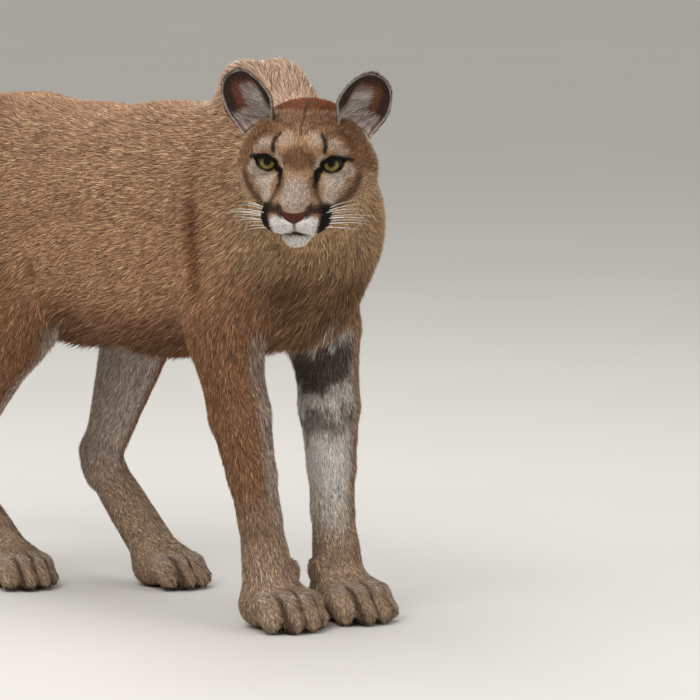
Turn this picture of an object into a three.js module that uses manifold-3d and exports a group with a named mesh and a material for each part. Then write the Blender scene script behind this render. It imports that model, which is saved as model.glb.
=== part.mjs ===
// A life-size cougar, standing with its forefeet side by side and its head lowered and turned to its
// right. Millimetres, +Z up, the cat's nose towards -Y and its left side +X.
// The outline is the tips of the coat. Flesh is described as muscles, tapered and flattened rods that
// blend into each other. Each named part is the surface of that flesh inside the part's own box of cuts.
import * as THREE from "three";
import { mergeVertices } from "three/addons/utils/BufferGeometryUtils.js";
import Module from "manifold-3d";

const wasm = await Module();
wasm.setup();

// Driving dimensions
const WITHERS = 642; // height of the spine between the shoulder blades
const HIP = 500; // height of the hip joints
const ELBOW = 342;
const WRIST = 130;
const HOCK = 142;
const GAP = 0.4; // clear space left by each cut between two parts
const FLOOR_BITE = 2.5; // depth of pad that is flattened against the floor

const LEFT = 1;
const RIGHT = -1;

// Eye point between the two eyes, and the way the head faces: turned to its right and lowered
const EYE_POINT = [-225, -277, 576];
const HEAD_TURN = 48.5;
const HEAD_DROP = 18;
const HEAD_ROLL = 1.5;

const at = (x, y, z) => [x, y, z];
const mix = (a, b, t) => a + (b - a) * t;
const radians = THREE.MathUtils.degToRad;

// A frame is an origin and three unit vectors: forward, left and up.
function frameOf(origin, turn, drop, roll) {
  const basis = new THREE.Matrix4()
    .makeRotationZ(radians(-turn))
    .multiply(new THREE.Matrix4().makeRotationX(radians(drop)))
    .multiply(new THREE.Matrix4().makeRotationY(radians(roll)));
  const x = new THREE.Vector3();
  const y = new THREE.Vector3();
  const z = new THREE.Vector3();
  basis.extractBasis(x, y, z);
  return { origin, forward: y.negate().toArray(), left: x.toArray(), up: z.toArray() };
}

function toLocal(frame, p) {
  const d = [p[0] - frame.origin[0], p[1] - frame.origin[1], p[2] - frame.origin[2]];
  return [dot(d, frame.forward), dot(d, frame.left), dot(d, frame.up)];
}

function toWorld(frame, q) {
  return [0, 1, 2].map(
    (i) => frame.origin[i] + q[0] * frame.forward[i] + q[1] * frame.left[i] + q[2] * frame.up[i],
  );
}

function dot(a, b) {
  return a[0] * b[0] + a[1] * b[1] + a[2] * b[2];
}

// Smooth union of two distances, with a fillet about as deep as `blend`
function join(a, b, blend) {
  const h = Math.max(blend - Math.abs(a - b), 0) / blend;
  return Math.min(a, b) - h * h * blend * 0.25;
}

// Smooth cut of b out of a
function carve(a, b, blend) {
  return -join(-a, b, blend);
}

// A muscle runs from a to b with half-thicknesses ra and rb. wide scales its width along the side vector.
function muscle(a, b, ra, rb, wide = 1, wideB = wide, side = [1, 0, 0]) {
  const d = [b[0] - a[0], b[1] - a[1], b[2] - a[2]];
  const length2 = Math.max(dot(d, d), 1e-6);
  return (p) => {
    const q = [p[0] - a[0], p[1] - a[1], p[2] - a[2]];
    const t = Math.min(Math.max(dot(q, d) / length2, 0), 1);
    const e = [q[0] - t * d[0], q[1] - t * d[1], q[2] - t * d[2]];
    const w = mix(wide, wideB, t);
    const s = dot(e, side);
    const rest = Math.max(dot(e, e) - s * s, 0);
    return (Math.sqrt((s * s) / (w * w) + rest) - mix(ra, rb, t)) * Math.min(w, 1);
  };
}

// An egg is an ellipsoid along the axes of the frame it is described in.
function egg(centre, radii) {
  const least = Math.min(...radii);
  return (p) => {
    const x = (p[0] - centre[0]) / radii[0];
    const y = (p[1] - centre[1]) / radii[1];
    const z = (p[2] - centre[2]) / radii[2];
    const k = Math.sqrt(x * x + y * y + z * z);
    const g = Math.sqrt((x / radii[0]) ** 2 + (y / radii[1]) ** 2 + (z / radii[2]) ** 2);
    return g > 1e-9 ? (k * (k - 1)) / g : -least;
  };
}

// A chain of muscles through stations of [point, half-height, width factor]
function chain(stations, blend, side) {
  const links = [];
  for (let i = 1; i < stations.length; i++) {
    const [a, ra, wa] = stations[i - 1];
    const [b, rb, wb] = stations[i];
    links.push(muscle(a, b, ra, rb, wa, wb, side));
  }
  return flesh(links, blend);
}

function flesh(muscles, blend) {
  return (p) => {
    let d = muscles[0](p);
    for (let i = 1; i < muscles.length; i++) d = join(d, muscles[i](p), blend);
    return d;
  };
}

// Skips a field where a point is so far outside its ball that no fillet reaches
function within(centre, radius, field) {
  return (p) => {
    const away = Math.hypot(p[0] - centre[0], p[1] - centre[1], p[2] - centre[2]) - radius;
    return away > 60 ? away : field(p);
  };
}

// Trunk, from the breast to the root of the tail
const trunk = flesh(
  [
    chain(
      [
        [at(0, -62, 480), 76, 0.8],
        [at(0, 40, WITHERS - 166), 158, 0.66],
        [at(0, 215, 457), 155, 0.8],
        [at(0, 370, 455), 151, 0.81],
        [at(0, 480, 482), 128, 0.82],
        [at(0, 575, 505), 102, 0.95],
        [at(0, 640, 520), 62, 1.0],
      ],
      30,
    ),
    // Breast
    muscle(at(-8, -84, 456), at(0, -30, 392), 52, 60, 1.0),
    // Spine between the shoulder blades
    muscle(at(-24, 44, WITHERS - 4), at(24, 44, WITHERS - 4), 26, 26),
  ],
  40,
);

// Foreleg above the wrist
function upperForeleg(s) {
  return flesh(
    [
      muscle(at(s * 27, 44, WITHERS), at(s * 54, -30, 494), 30, 50, 0.85, 0.6),
      muscle(at(s * 56, -36, 480), at(s * 76, 22, 362), 52, 50, 0.56, 0.7),
      muscle(at(s * 60, 50, 500), at(s * 76, 46, 368), 56, 44, 0.6),
    ],
    34,
  );
}

function forearm(s, wrist) {
  return chain(
    [
      [at(s * 80, 22, ELBOW), 47, 0.86],
      [at(mix(s * 80, wrist[0], 0.42), 4, mix(ELBOW, WRIST, 0.42)), 42, 0.92],
      [at(mix(s * 80, wrist[0], 0.75), mix(4, wrist[1], 0.6), mix(ELBOW, WRIST, 0.75)), 33, 0.97],
      [wrist, 28.5, 1.0],
    ],
    6,
  );
}

// Thigh and shank down to the hock
function thigh(s, knee) {
  const calf = at(knee[0], mix(knee[1], 560, 0.55), mix(knee[2], HIP, 0.08));
  return flesh(
    [
      muscle(at(s * 50, 515, 535), at(s * 56, 600, 505), 66, 72, 0.85),
      muscle(at(s * 60, 530, HIP - 8), knee, 104, 60, 0.58),
      muscle(at(s * 56, 606, 480), calf, 62, 50, 0.72, 0.62),
    ],
    40,
  );
}

function shank(knee, hock) {
  return flesh(
    [
      muscle(knee, at(hock[0], hock[1] - 8, hock[2] + 14), 56, 27, 0.76),
      muscle(
        at(knee[0], mix(knee[1], hock[1], 0.4) + 26, mix(knee[2], hock[2], 0.25)),
        at(hock[0], hock[1] + 8, hock[2] + 26),
        46,
        19,
        0.72,
      ),
      // Heel bone
      muscle(at(hock[0], hock[1] + 12, hock[2] + 14), at(hock[0], hock[1] - 2, hock[2] - 12), 20, 25),
    ],
    22,
  );
}

// One foot: the cannon down from `top`, the palm, four toes and, on a forefoot, the thumb.
const TOES = [
  { side: -33, reach: 44, size: 0.92 },
  { side: -12, reach: 58, size: 1.0 },
  { side: 12, reach: 57, size: 1.0 },
  { side: 33, reach: 42, size: 0.92 },
];

function foot({ centre, turn, top, size, thumb }) {
  const frame = frameOf(at(centre[0], centre[1], -FLOOR_BITE), turn, 0, 0);
  const k = size;
  const palm = flesh(
    [
      egg([-8 * k, 0, 26 * k], [42 * k, 40 * k, 28 * k]),
      egg([14 * k, 0, 32 * k], [30 * k, 43 * k, 22 * k]),
    ],
    12,
  );
  const toes = TOES.map((toe) => {
    const r = 16 * k * toe.size;
    const root = [8 * k, toe.side * 0.82 * k, 36 * k];
    const knuckle = [(toe.reach - 24) * k, toe.side * k, 33 * k];
    const end = [(toe.reach - 6) * k, toe.side * 1.03 * k, 17 * k];
    return flesh([muscle(root, knuckle, r, r * 1.06), muscle(knuckle, end, r * 1.06, r * 0.98)], 6);
  });
  const fore = flesh(toes, 3.5);
  const cannon = muscle(top, toWorld(frame, [-16 * k, 0, 42 * k]), 27, 33 * k, 1.0, 1.08, frame.left);
  return (p) => {
    const q = toLocal(frame, p);
    let d = join(palm(q), fore(q), 10);
    d = join(d, cannon(p), 22);
    if (thumb) d = join(d, egg([-20, thumb * 33, 66], [14, 10, 17])(q), 10);
    return d;
  };
}

// Where each leg stands. turn is the way the toes point, in degrees to the cat's right.
const LEGS = {
  fore_left: {
    s: LEFT,
    wrist: at(58, -16, WRIST),
    foot: { centre: at(48, -54, 0), turn: 4, size: 1.0, thumb: -1 },
  },
  fore_right: {
    s: RIGHT,
    wrist: at(-62, -20, WRIST),
    foot: { centre: at(-58, -48, 0), turn: 8, size: 1.0, thumb: 1 },
  },
  hind_left: {
    s: LEFT,
    knee: at(98, 352, 372),
    hock: at(74, 440, HOCK),
    foot: { centre: at(70, 308, 0), turn: -3, size: 0.9, thumb: 0 },
  },
  hind_right: {
    s: RIGHT,
    knee: at(-98, 398, 338),
    hock: at(-78, 556, HOCK - 4),
    foot: { centre: at(-74, 432, 0), turn: 6, size: 0.9, thumb: 0 },
  },
};

function limb(leg) {
  const top = leg.wrist ?? leg.hock;
  const middle = leg.wrist ? at(leg.s * 78, 0, 238) : leg.knee.map((v, i) => mix(v, top[i], 0.5));
  const upper = leg.wrist ? upperForeleg(leg.s) : thigh(leg.s, leg.knee);
  const lower = leg.wrist ? forearm(leg.s, leg.wrist) : shank(leg.knee, leg.hock);
  const shoulder = leg.wrist ? at(leg.s * 70, -5, 500) : at(leg.s * 70, 500, 450);
  return {
    upper: within(shoulder, 260, upper),
    lower: within(middle, 210, lower),
    sole: within(at(leg.foot.centre[0], leg.foot.centre[1] + 10, 70), 140, foot({ ...leg.foot, top })),
  };
}

// Tail: hangs from the rump in a loose J, thick to its blunt tip
const TAIL_POINTS = [
  at(0, 628, 548),
  at(2, 700, 520),
  at(10, 762, 430),
  at(20, 790, 320),
  at(34, 822, 205),
  at(48, 888, 122),
  at(58, 976, 106),
  at(62, 1042, 142),
];
const TAIL_RADII = [42, 35, 30.5, 29, 28.5, 28, 26.5, 20];
const TAIL_STEPS = 24;
const TAIL = Array.from({ length: TAIL_STEPS + 1 }, (_, i) => {
  const u = i / TAIL_STEPS;
  const curve = new THREE.CatmullRomCurve3(TAIL_POINTS.map((p) => new THREE.Vector3(...p)));
  const k = Math.min(Math.floor(u * (TAIL_RADII.length - 1)), TAIL_RADII.length - 2);
  const radius = mix(TAIL_RADII[k], TAIL_RADII[k + 1], u * (TAIL_RADII.length - 1) - k);
  return [curve.getPoint(u).toArray(), radius, 1];
});
const tail = within(at(30, 820, 330), 345, chain(TAIL, 3));

// Neck and head
const HEAD = frameOf(EYE_POINT, HEAD_TURN, HEAD_DROP, HEAD_ROLL);
const NAPE = toWorld(HEAD, [-88, 0, -22]);
const NECK_SIDE = [0.83, -0.56, 0];
const NECK_STATIONS = [
  [at(0, 20, 536), 88, 0.72],
  [at(-44, -88, 528), 82, 0.84],
  [at(mix(-44, NAPE[0], 0.5), mix(-88, NAPE[1], 0.5), 536), 74, 0.95],
  [NAPE, 62, 1.05],
];
const neck = chain(NECK_STATIONS, 24, NECK_SIDE);

// The head in its own frame, [forward, left, up] from the point between the eyes. l is mirrored.
const EYE = [-8, 36.5, -1];
const EYE_RADIUS = 15.5;
const skull = flesh(
  [
    egg([-66, 0, -1], [64, 58, 41]), // cranium
    egg([-34, 0, 5], [40, 48, 31]), // forehead
    egg([-44, 40, -22], [46, 34, 36]), // cheekbone
    egg([-72, 44, -36], [44, 40, 42]), // ruff behind the cheek
    egg([-30, 30, -60], [46, 34, 32]), // jaw muscle
    egg([-9, 32, 15], [19, 21, 12]), // brow
  ],
  20,
);
const muzzle = flesh(
  [
    muscle([-2, 0, -6], [52, 0, -34], 25, 17, 1.0, 1.15, [0, 1, 0]), // bridge
    muscle([4, 16, -34], [40, 15, -44], 28, 21), // root of the whisker pad
    egg([43, 17, -47], [26, 23, 18]), // whisker pad
  ],
  11,
);
const nose = egg([54, 0, -38], [13, 19, 13]);
const chin = flesh([egg([42, 0, -71], [17, 17, 14]), muscle([24, 6, -70], [-34, 28, -70], 14, 27)], 12);

const head = within(toWorld(HEAD, [-30, 0, -25]), 150, (p) => {
  const q = toLocal(HEAD, p);
  q[1] = Math.abs(q[1]);
  let d = join(skull(q), muzzle(q), 18);
  d = join(d, nose(q), 3);
  d = join(d, chin(q), 5);
  // Eye opening and the hollow at its inner corner
  return carve(d, egg([9, 35, -1], [14, 15, 10])(q), 6);
});

const legs = Object.fromEntries(Object.entries(LEGS).map(([name, leg]) => [name, limb(leg)]));

function body(p) {
  let d = trunk(p);
  d = join(d, neck(p), 50);
  for (const { upper } of Object.values(legs)) d = join(d, upper(p), 30);
  for (const { lower } of Object.values(legs)) d = join(d, lower(p), 26);
  for (const { sole } of Object.values(legs)) d = join(d, sole(p), 8);
  d = join(d, head(p), 26);
  return join(d, tail(p), 30);
}

function slope(field, p, h = 0.5) {
  return [0, 1, 2].map((i) => {
    const a = [...p];
    const b = [...p];
    a[i] += h;
    b[i] -= h;
    return (field(a) - field(b)) / (2 * h);
  });
}

// Moves a point onto the surface where the field is 0, by no more than `most`
function settle(field, p, most) {
  const start = [...p];
  for (let i = 0; i < 4; i++) {
    const g = slope(field, p);
    const step = field(p) / Math.max(dot(g, g), 0.2);
    p = p.map((v, j) => v - step * g[j]);
  }
  const moved = Math.hypot(p[0] - start[0], p[1] - start[1], p[2] - start[2]);
  const keep = moved > most ? most / moved : 1;
  return p.map((v, j) => start[j] + (v - start[j]) * keep);
}

// Corners of a cube are numbered by their bits: 1 along x, 2 along y, 4 along z.
const CORNERS = [0, 1, 2, 3, 4, 5, 6, 7];
const AXIS_BITS = [1, 2, 4];
const FACE_BITS = [
  [1, 2],
  [1, 4],
  [2, 4],
];

// Labels a cube's corners by the pocket of flesh or of air that they lie in. On a face with flesh at two
// opposite corners only, the flesh is parted and the air is joined.
function pockets(inside) {
  const label = [...CORNERS];
  const unite = (a, b) => {
    const old = label[a];
    for (const c of CORNERS) if (label[c] === old) label[c] = label[b];
  };
  for (const a of CORNERS) {
    for (const bit of AXIS_BITS) if (inside[a] === inside[a ^ bit]) unite(a, a ^ bit);
    for (const [p, q] of FACE_BITS)
      if (!inside[a] && inside[a ^ p] && inside[a ^ q] && !inside[a ^ p ^ q]) unite(a, a ^ p ^ q);
  }
  return label;
}

// Nets the field inside a box, one vertex for each fold of the surface in a cell. `size` is about the
// size of a cell along x, y and z.
function net(field, low, high, size) {
  const n = [0, 1, 2].map((i) => Math.round((high[i] - low[i]) / size[i]) + 1);
  const cell = [0, 1, 2].map((i) => (high[i] - low[i]) / (n[i] - 1));
  const corner = (c) => (c[0] * n[1] + c[1]) * n[2] + c[2];
  const bitsOf = (a) => [a & 1, (a >> 1) & 1, (a >> 2) & 1];
  const values = new Float64Array(n[0] * n[1] * n[2]);
  for (let i = 0; i < n[0]; i++)
    for (let j = 0; j < n[1]; j++)
      for (let k = 0; k < n[2]; k++) {
        const c = [i, j, k];
        const edge = c.some((v, axis) => v === 0 || v === n[axis] - 1);
        values[corner(c)] = edge ? 1 : field(c.map((v, axis) => low[axis] + v * cell[axis])) || 1e-6;
      }

  const positions = [];
  const vertices = new Map();
  // The vertex of cell c on the fold between its corner a, in the flesh, and its corner b, in the air
  function vertex(c, a, b) {
    const value = CORNERS.map((d) => values[corner(c.map((v, axis) => v + bitsOf(d)[axis]))]);
    const label = pockets(value.map((v) => v < 0));
    const key = [corner(c), label[a], label[b]].join();
    if (vertices.has(key)) return vertices.get(key);
    const crossings = [];
    for (const d of CORNERS)
      for (const bit of AXIS_BITS) {
        const e = d ^ bit;
        if (label[d] !== label[a] || label[e] !== label[b]) continue;
        const t = value[d] / (value[d] - value[e]);
        const along = [0, 1, 2].map((axis) => mix(bitsOf(d)[axis], bitsOf(e)[axis], t));
        crossings.push(along.map((share, axis) => low[axis] + cell[axis] * (c[axis] + share)));
      }
    let p = [0, 1, 2].map((axis) => crossings.reduce((sum, q) => sum + q[axis], 0) / crossings.length);
    const free = c.every((v, axis) => v > 0 && v < n[axis] - 2);
    if (free) p = settle(field, p, 0.7 * Math.min(...cell));
    vertices.set(key, positions.length / 3);
    positions.push(...p);
    return vertices.get(key);
  }

  const triangles = [];
  for (let i = 0; i < n[0] - 1; i++)
    for (let j = 0; j < n[1] - 1; j++)
      for (let k = 0; k < n[2] - 1; k++)
        for (let axis = 0; axis < 3; axis++) {
          const c = [i, j, k];
          const next = c.map((v, m) => v + (m === axis ? 1 : 0));
          const here = values[corner(c)] < 0;
          if (here === values[corner(next)] < 0) continue;
          const [u, v] = [(axis + 1) % 3, (axis + 2) % 3];
          const ring = [
            [1, 1],
            [0, 1],
            [0, 0],
            [1, 0],
          ].map(([back, down]) => {
            const cube = [...c];
            cube[u] -= back;
            cube[v] -= down;
            const start = (back << u) | (down << v);
            const end = start | (1 << axis);
            return here ? vertex(cube, start, end) : vertex(cube, end, start);
          });
          if (!here) ring.reverse();
          triangles.push(ring[0], ring[1], ring[2], ring[0], ring[2], ring[3]);
        }
  return { positions, triangles };
}

// True where no edge belongs to more than two triangles
function isClean(triangles) {
  const seen = new Set();
  for (let t = 0; t < triangles.length; t += 3)
    for (let e = 0; e < 3; e++) {
      const key = triangles[t + e] + ">" + triangles[t + ((e + 1) % 3)];
      if (seen.has(key)) return false;
      seen.add(key);
    }
  return true;
}

function solidFrom(positions, triangles) {
  const vertProperties = new Float32Array(positions);
  const triVerts = new Uint32Array(triangles);
  return new wasm.Manifold(new wasm.Mesh({ numProp: 3, vertProperties, triVerts }));
}

// The solid inside a field. Where two folds of skin share a cell the net pinches, so it is cast again
// with cells of a slightly different size.
const CELL_STRETCHES = [1, 0.97, 1.03, 0.94, 1.06, 0.91, 1.09, 0.88];

function surface(field, low, high, size) {
  for (const stretch of CELL_STRETCHES) {
    const stretched = size.map((v) => v * stretch);
    const { positions, triangles } = net(field, low, high, stretched);
    if (isClean(triangles)) return solidFrom(positions, triangles);
  }
  throw new Error("no clean net in this box");
}

// A three.js geometry as a solid
function solidOf(geometry) {
  const bare = geometry.clone().deleteAttribute("normal").deleteAttribute("uv");
  const merged = mergeVertices(bare, 1e-3);
  return solidFrom(merged.attributes.position.array, merged.index.array);
}

// The half of space behind a plane, as a big box: through `point`, its outward normal `normal`
function behind(point, normal, inset = GAP / 2) {
  const size = 3000;
  const n = new THREE.Vector3(...normal).normalize();
  const turn = new THREE.Matrix4().makeRotationFromQuaternion(
    new THREE.Quaternion().setFromUnitVectors(new THREE.Vector3(0, 0, 1), n),
  );
  const centre = new THREE.Vector3(...point).addScaledVector(n, -size / 2 - inset);
  const box = new THREE.BoxGeometry(size, size, size).applyMatrix4(turn);
  return solidOf(box.translate(centre.x, centre.y, centre.z));
}

const minus = (v) => v.map((x) => -x);

// A plane as [point, normal]. `beyond` keeps the side that the normal points to, `before` the other.
const before = ([point, normal], inset) => behind(point, normal, inset);
const beyond = ([point, normal], inset) => behind(point, minus(normal), inset);

// Planes that part the body
const headAt = (f, l, u) => toWorld(HEAD, [f, l, u]);
const NAPE_CUT = [headAt(-96, 0, 0), HEAD.forward];
const NECK_CUT = [at(-35, -95, 535), at(0.35, 0.85, -0.38)];
const CHEST_CUT = [at(0, 165, 450), at(0, 1, 0)];
const RUMP_CUT = [at(0, 415, 450), at(0, 1, 0)];
const TAIL_CUT = [at(0, 700, 520), at(0, 1, 0)];
const MOUTH_CUT = [headAt(50, 0, -63), HEAD.up];
const JAW_CUT = [headAt(4, 0, -80), HEAD.forward];
const NOSE_CUT = [headAt(56, 0, -40), HEAD.forward];
const NOSE_FOOT = [headAt(56, 0, -49), HEAD.up];
const FOREARM_TOP = [at(0, 0, 316), at(0, 0, 1)];
const FOREARM_BACK = [at(0, 140, 300), at(0, 1, 0)];
const WRIST_CUT = [at(0, 0, 118), at(0, 0, 1)];
const SHANK_TOP = [at(0, 0, 374), at(0, 0, 1)];
const HOCK_CUT = [at(0, 0, 126), at(0, 0, 1)];
const SHOULDER_BACK = [at(0, 118, 450), at(0, 1, 0.1)];
const shoulderSide = (s) => [at(s * 56, 0, 450), at(s, 0, -0.22)];
const thighSide = (s) => [at(s * 50, 0, 480), at(s, 0, -0.16)];
const midline = (s) => [at(s * 4, 0, 0), at(s, 0, 0)];
const flankFold = ({ knee }) => {
  const run = [440 - knee[1] + 58, 600 - knee[2]];
  return [at(0, knee[1] - 58, knee[2]), at(0, run[1], -run[0])];
};
const shankCut = ({ knee, hock }) => {
  const down = knee.map((v, i) => hock[i] - v);
  return [knee.map((v, i) => v + 0.22 * down[i]), down];
};

// A region is a convex block of space between planes, drawn in or let out by `inset`.
const regions = {
  head: (i) => [beyond(NAPE_CUT, i)],
  jaw: (i) => [before(MOUTH_CUT, i), beyond(JAW_CUT, i)],
  nose: (i) => [beyond(NOSE_CUT, i), beyond(NOSE_FOOT, i)],
  neck: (i) => [before(NAPE_CUT, i), before(NECK_CUT, i)],
  front: (i) => [before(CHEST_CUT, i)],
  middle: (i) => [beyond(CHEST_CUT, i), before(RUMP_CUT, i)],
  rear: (i) => [beyond(RUMP_CUT, i)],
  tail: (i) => [beyond(TAIL_CUT, i)],
};
for (const [name, leg] of Object.entries(LEGS)) {
  const fore = Boolean(leg.wrist);
  if (fore) {
    regions[name + "_upper"] = (i) => [
      beyond(shoulderSide(leg.s), i),
      beyond(FOREARM_TOP, i),
      before(SHOULDER_BACK, i),
      beyond(NECK_CUT, i),
    ];
    regions[name + "_lower"] = (i) => [
      beyond(midline(leg.s), i),
      before(FOREARM_TOP, i),
      beyond(WRIST_CUT, i),
      before(FOREARM_BACK, i),
    ];
    regions[name + "_foot"] = (i) => [before(WRIST_CUT, i)];
  } else {
    regions[name + "_upper"] = (i) => [
      beyond(thighSide(leg.s), i),
      beyond(flankFold(leg), i),
    ];
    regions[name + "_lower"] = (i) => [
      beyond(midline(leg.s), i),
      beyond(shankCut(leg), i),
      beyond(HOCK_CUT, i),
      before(SHANK_TOP, i),
    ];
    regions[name + "_foot"] = (i) => [before(HOCK_CUT, i)];
  }
}

const MATERIALS = {
  coat: { color: 0x9c7458, roughness: 0.9 },
  pale_coat: { color: 0xb9a08a, roughness: 0.9 },
  dark_coat: { color: 0x3a2c24, roughness: 0.9 },
  nose_skin: { color: 0x8a4a3c, roughness: 0.5 },
  eye: { color: 0x8f8440, roughness: 0.08 },
};
for (const [name, look] of Object.entries(MATERIALS))
  MATERIALS[name] = new THREE.MeshStandardMaterial({ name, metalness: 0, ...look });

const floorCut = behind(at(0, 0, 0), at(0, 0, -1), 0);
const cougar = new THREE.Group();

function show(name, solid, material) {
  const mesh = solid.getMesh();
  const geometry = new THREE.BufferGeometry()
    .setAttribute("position", new THREE.BufferAttribute(mesh.vertProperties, 3))
    .setIndex(new THREE.BufferAttribute(mesh.triVerts, 1));
  geometry.computeVertexNormals();
  const shown = new THREE.Mesh(geometry, MATERIALS[material]);
  shown.name = name;
  cougar.add(shown);
}

// The flesh of one region: the body's surface in a box, less the regions already taken
function fleshOf(name, [low, high], cell, taken = []) {
  let solid = surface(body, low, high, cell);
  for (const half of regions[name](GAP / 2)) solid = solid.intersect(half);
  for (const other of taken) {
    const [first, ...rest] = regions[other](-GAP / 2);
    solid = solid.subtract(rest.reduce((a, b) => a.intersect(b), first));
  }
  return largest(solid);
}

function largest(solid) {
  return solid.decompose().sort((a, b) => b.volume() - a.volume())[0];
}

// Ear: a leaf rolled into a cup. s runs from its root to its tip and t across it.
const EAR = { root: [-66, 53, 14], lean: [0.08, 0.36, 0.93], open: [0.93, 0.36, 0], height: 78, half: 36.5 };
const EAR_ROWS = 8;
const EAR_COLUMNS = 6;

function earPoint(s, t, inner) {
  const flare = mix(0.66, 1, THREE.MathUtils.smoothstep(s, 0, 0.5));
  const width = EAR.half * flare * (1 - s ** 4) ** 0.45;
  const curl = radians(mix(115, 46, THREE.MathUtils.smoothstep(s, -0.1, 0.6)));
  const radius = width / Math.sin(Math.min(curl, Math.PI / 2));
  const wall = inner ? Math.min(mix(6.5, 4, s), 0.45 * width) : 0;
  const across = (radius - wall) * Math.sin(t * curl);
  const out = radius - (radius - wall) * Math.cos(t * curl) - 0.6 * EAR.half * (1 - 0.5 * s);
  return [across, out, s * EAR.height - wall * s];
}

function earSolid(side) {
  const up = new THREE.Vector3(...EAR.lean).normalize();
  const open = new THREE.Vector3(...EAR.open);
  open.addScaledVector(up, -open.dot(up)).normalize();
  const across = new THREE.Vector3().crossVectors(open, up);
  const place = ([x, y, z]) => {
    const q = new THREE.Vector3(...EAR.root).addScaledVector(across, x).addScaledVector(open, y);
    q.addScaledVector(up, z);
    return toWorld(HEAD, [q.x, q.y * side, q.z]);
  };
  const rows = [];
  for (let i = 0; i < EAR_ROWS; i++) {
    const s = 0.995 * Math.sin((Math.PI / 2) * (i / (EAR_ROWS - 1)));
    const ring = [];
    for (let j = 0; j <= EAR_COLUMNS; j++) ring.push(place(earPoint(s, (2 * j) / EAR_COLUMNS - 1, false)));
    for (let j = EAR_COLUMNS; j >= 0; j--) ring.push(place(earPoint(s, (2 * j) / EAR_COLUMNS - 1, true)));
    rows.push(ring);
  }
  return closedLoft(rows, side < 0);
}

// A solid through rings of points, closed by a flat fan over the first ring and the last
function closedLoft(rows, flip) {
  const n = rows[0].length;
  const points = rows.flat();
  const middle = (ring) => ring.reduce((sum, p) => sum.map((v, i) => v + p[i] / n), [0, 0, 0]);
  const last = n * (rows.length - 1);
  points.push(middle(rows[0]), middle(rows.at(-1)));
  const faces = [];
  for (let j = 0; j < n; j++) {
    const k = (j + 1) % n;
    faces.push([last + n, k, j], [last + n + 1, last + j, last + k]);
    for (let i = 0; i < last; i += n) faces.push([i + j, i + k, i + n + k], [i + j, i + n + k, i + n + j]);
  }
  return solidFrom(
    points.flat(),
    faces.flatMap(([a, b, c]) => (flip ? [a, c, b] : [a, b, c])),
  );
}

function ball(centre, radius, segments = 12) {
  const sphere = new THREE.SphereGeometry(radius, segments, Math.round(segments * 0.6));
  return solidOf(sphere.translate(...centre));
}

// Head, with its eyes, nose and lower jaw
const HEAD_CELL = [16, 16, 14];
const NOSE_CELL = [11, 11, 10];
const HEAD_BOX = [
  EYE_POINT.map((v, i) => v - [95, 100, 120][i]),
  EYE_POINT.map((v, i) => v + [155, 150, 90][i]),
];
const EAR_GAP = 0.7;
const eyes = [LEFT, RIGHT].map((s) => headAt(EYE[0], s * EYE[1], EYE[2]));
let skullSolid = fleshOf("head", HEAD_BOX, HEAD_CELL, ["jaw", "nose"]);
for (const centre of eyes) skullSolid = skullSolid.subtract(ball(centre, EYE_RADIUS + GAP));
show("head", skullSolid, "coat");
show("lower_jaw", fleshOf("jaw", HEAD_BOX, HEAD_CELL), "pale_coat");
show("nose", fleshOf("nose", HEAD_BOX, NOSE_CELL, ["jaw"]), "nose_skin");
show("eye_left", ball(eyes[0], EYE_RADIUS), "eye");
show("eye_right", ball(eyes[1], EYE_RADIUS), "eye");
const aroundHead = surface((p) => body(p) - EAR_GAP, ...HEAD_BOX, HEAD_CELL);
show("ear_left", largest(earSolid(LEFT).subtract(aroundHead)), "coat");
show("ear_right", largest(earSolid(RIGHT).subtract(aroundHead)), "coat");

// Neck and trunk
const NECK_BOX = [at(-230, -300, 400), at(130, 60, 680)];
const CHEST_BOX = [at(-170, -200, 250), at(170, 240, 720)];
const FLANK_BOX = [at(-170, 90, 230), at(170, 490, 700)];
const RUMP_BOX = [at(-170, 340, 250), at(170, 722, 700)];
const NECK_CELL = [32, 32, 32];
const TRUNK_CELL = [34, 50, 34];
const FORE_TAKEN = ["neck", "fore_left_upper", "fore_right_upper", "fore_left_lower", "fore_right_lower"];
const HIND_TAKEN = ["hind_left_upper", "hind_right_upper", "hind_left_lower", "hind_right_lower", "tail"];
show("neck", fleshOf("neck", NECK_BOX, NECK_CELL), "coat");
show("chest", fleshOf("front", CHEST_BOX, TRUNK_CELL, FORE_TAKEN), "coat");
show("flank", fleshOf("middle", FLANK_BOX, TRUNK_CELL, HIND_TAKEN), "coat");
show("rump", fleshOf("rear", RUMP_BOX, TRUNK_CELL, HIND_TAKEN), "coat");

// Legs. Each length is netted in a box on its own side of the cat, given here as its y and z.
const LEG_INSIDE = -10;
const LEG_OUTSIDE = 175;
const FORE = {
  names: ["shoulder", "forearm", "paw"],
  upper: [-190, 190, 250, 720],
  lower: [-110, 130, 80, 360],
  heel: 96,
};
const HIND = {
  names: ["thigh", "shank", "foot"],
  upper: [240, 722, 200, 690],
  lower: [240, 640, 90, 430],
  heel: 180,
};
const FOOT_SIDE = 72;
const FOOT_FRONT = 84;
const FOOT_TOP = 150;
const UPPER_CELL = [40, 42, 44];
const LOWER_CELL = [26, 26, 44];
const FOOT_CELL = [18.5, 18.5, 15];

function legBox(leg, [y0, y1, z0, z1]) {
  const x = [leg.s * LEG_INSIDE, leg.s * LEG_OUTSIDE].sort((a, b) => a - b);
  return [at(x[0], y0, z0), at(x[1], y1, z1)];
}

function footBox([x, y], heel) {
  return [at(x - FOOT_SIDE, y - FOOT_FRONT, -12), at(x + FOOT_SIDE, y + heel, FOOT_TOP)];
}

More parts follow.
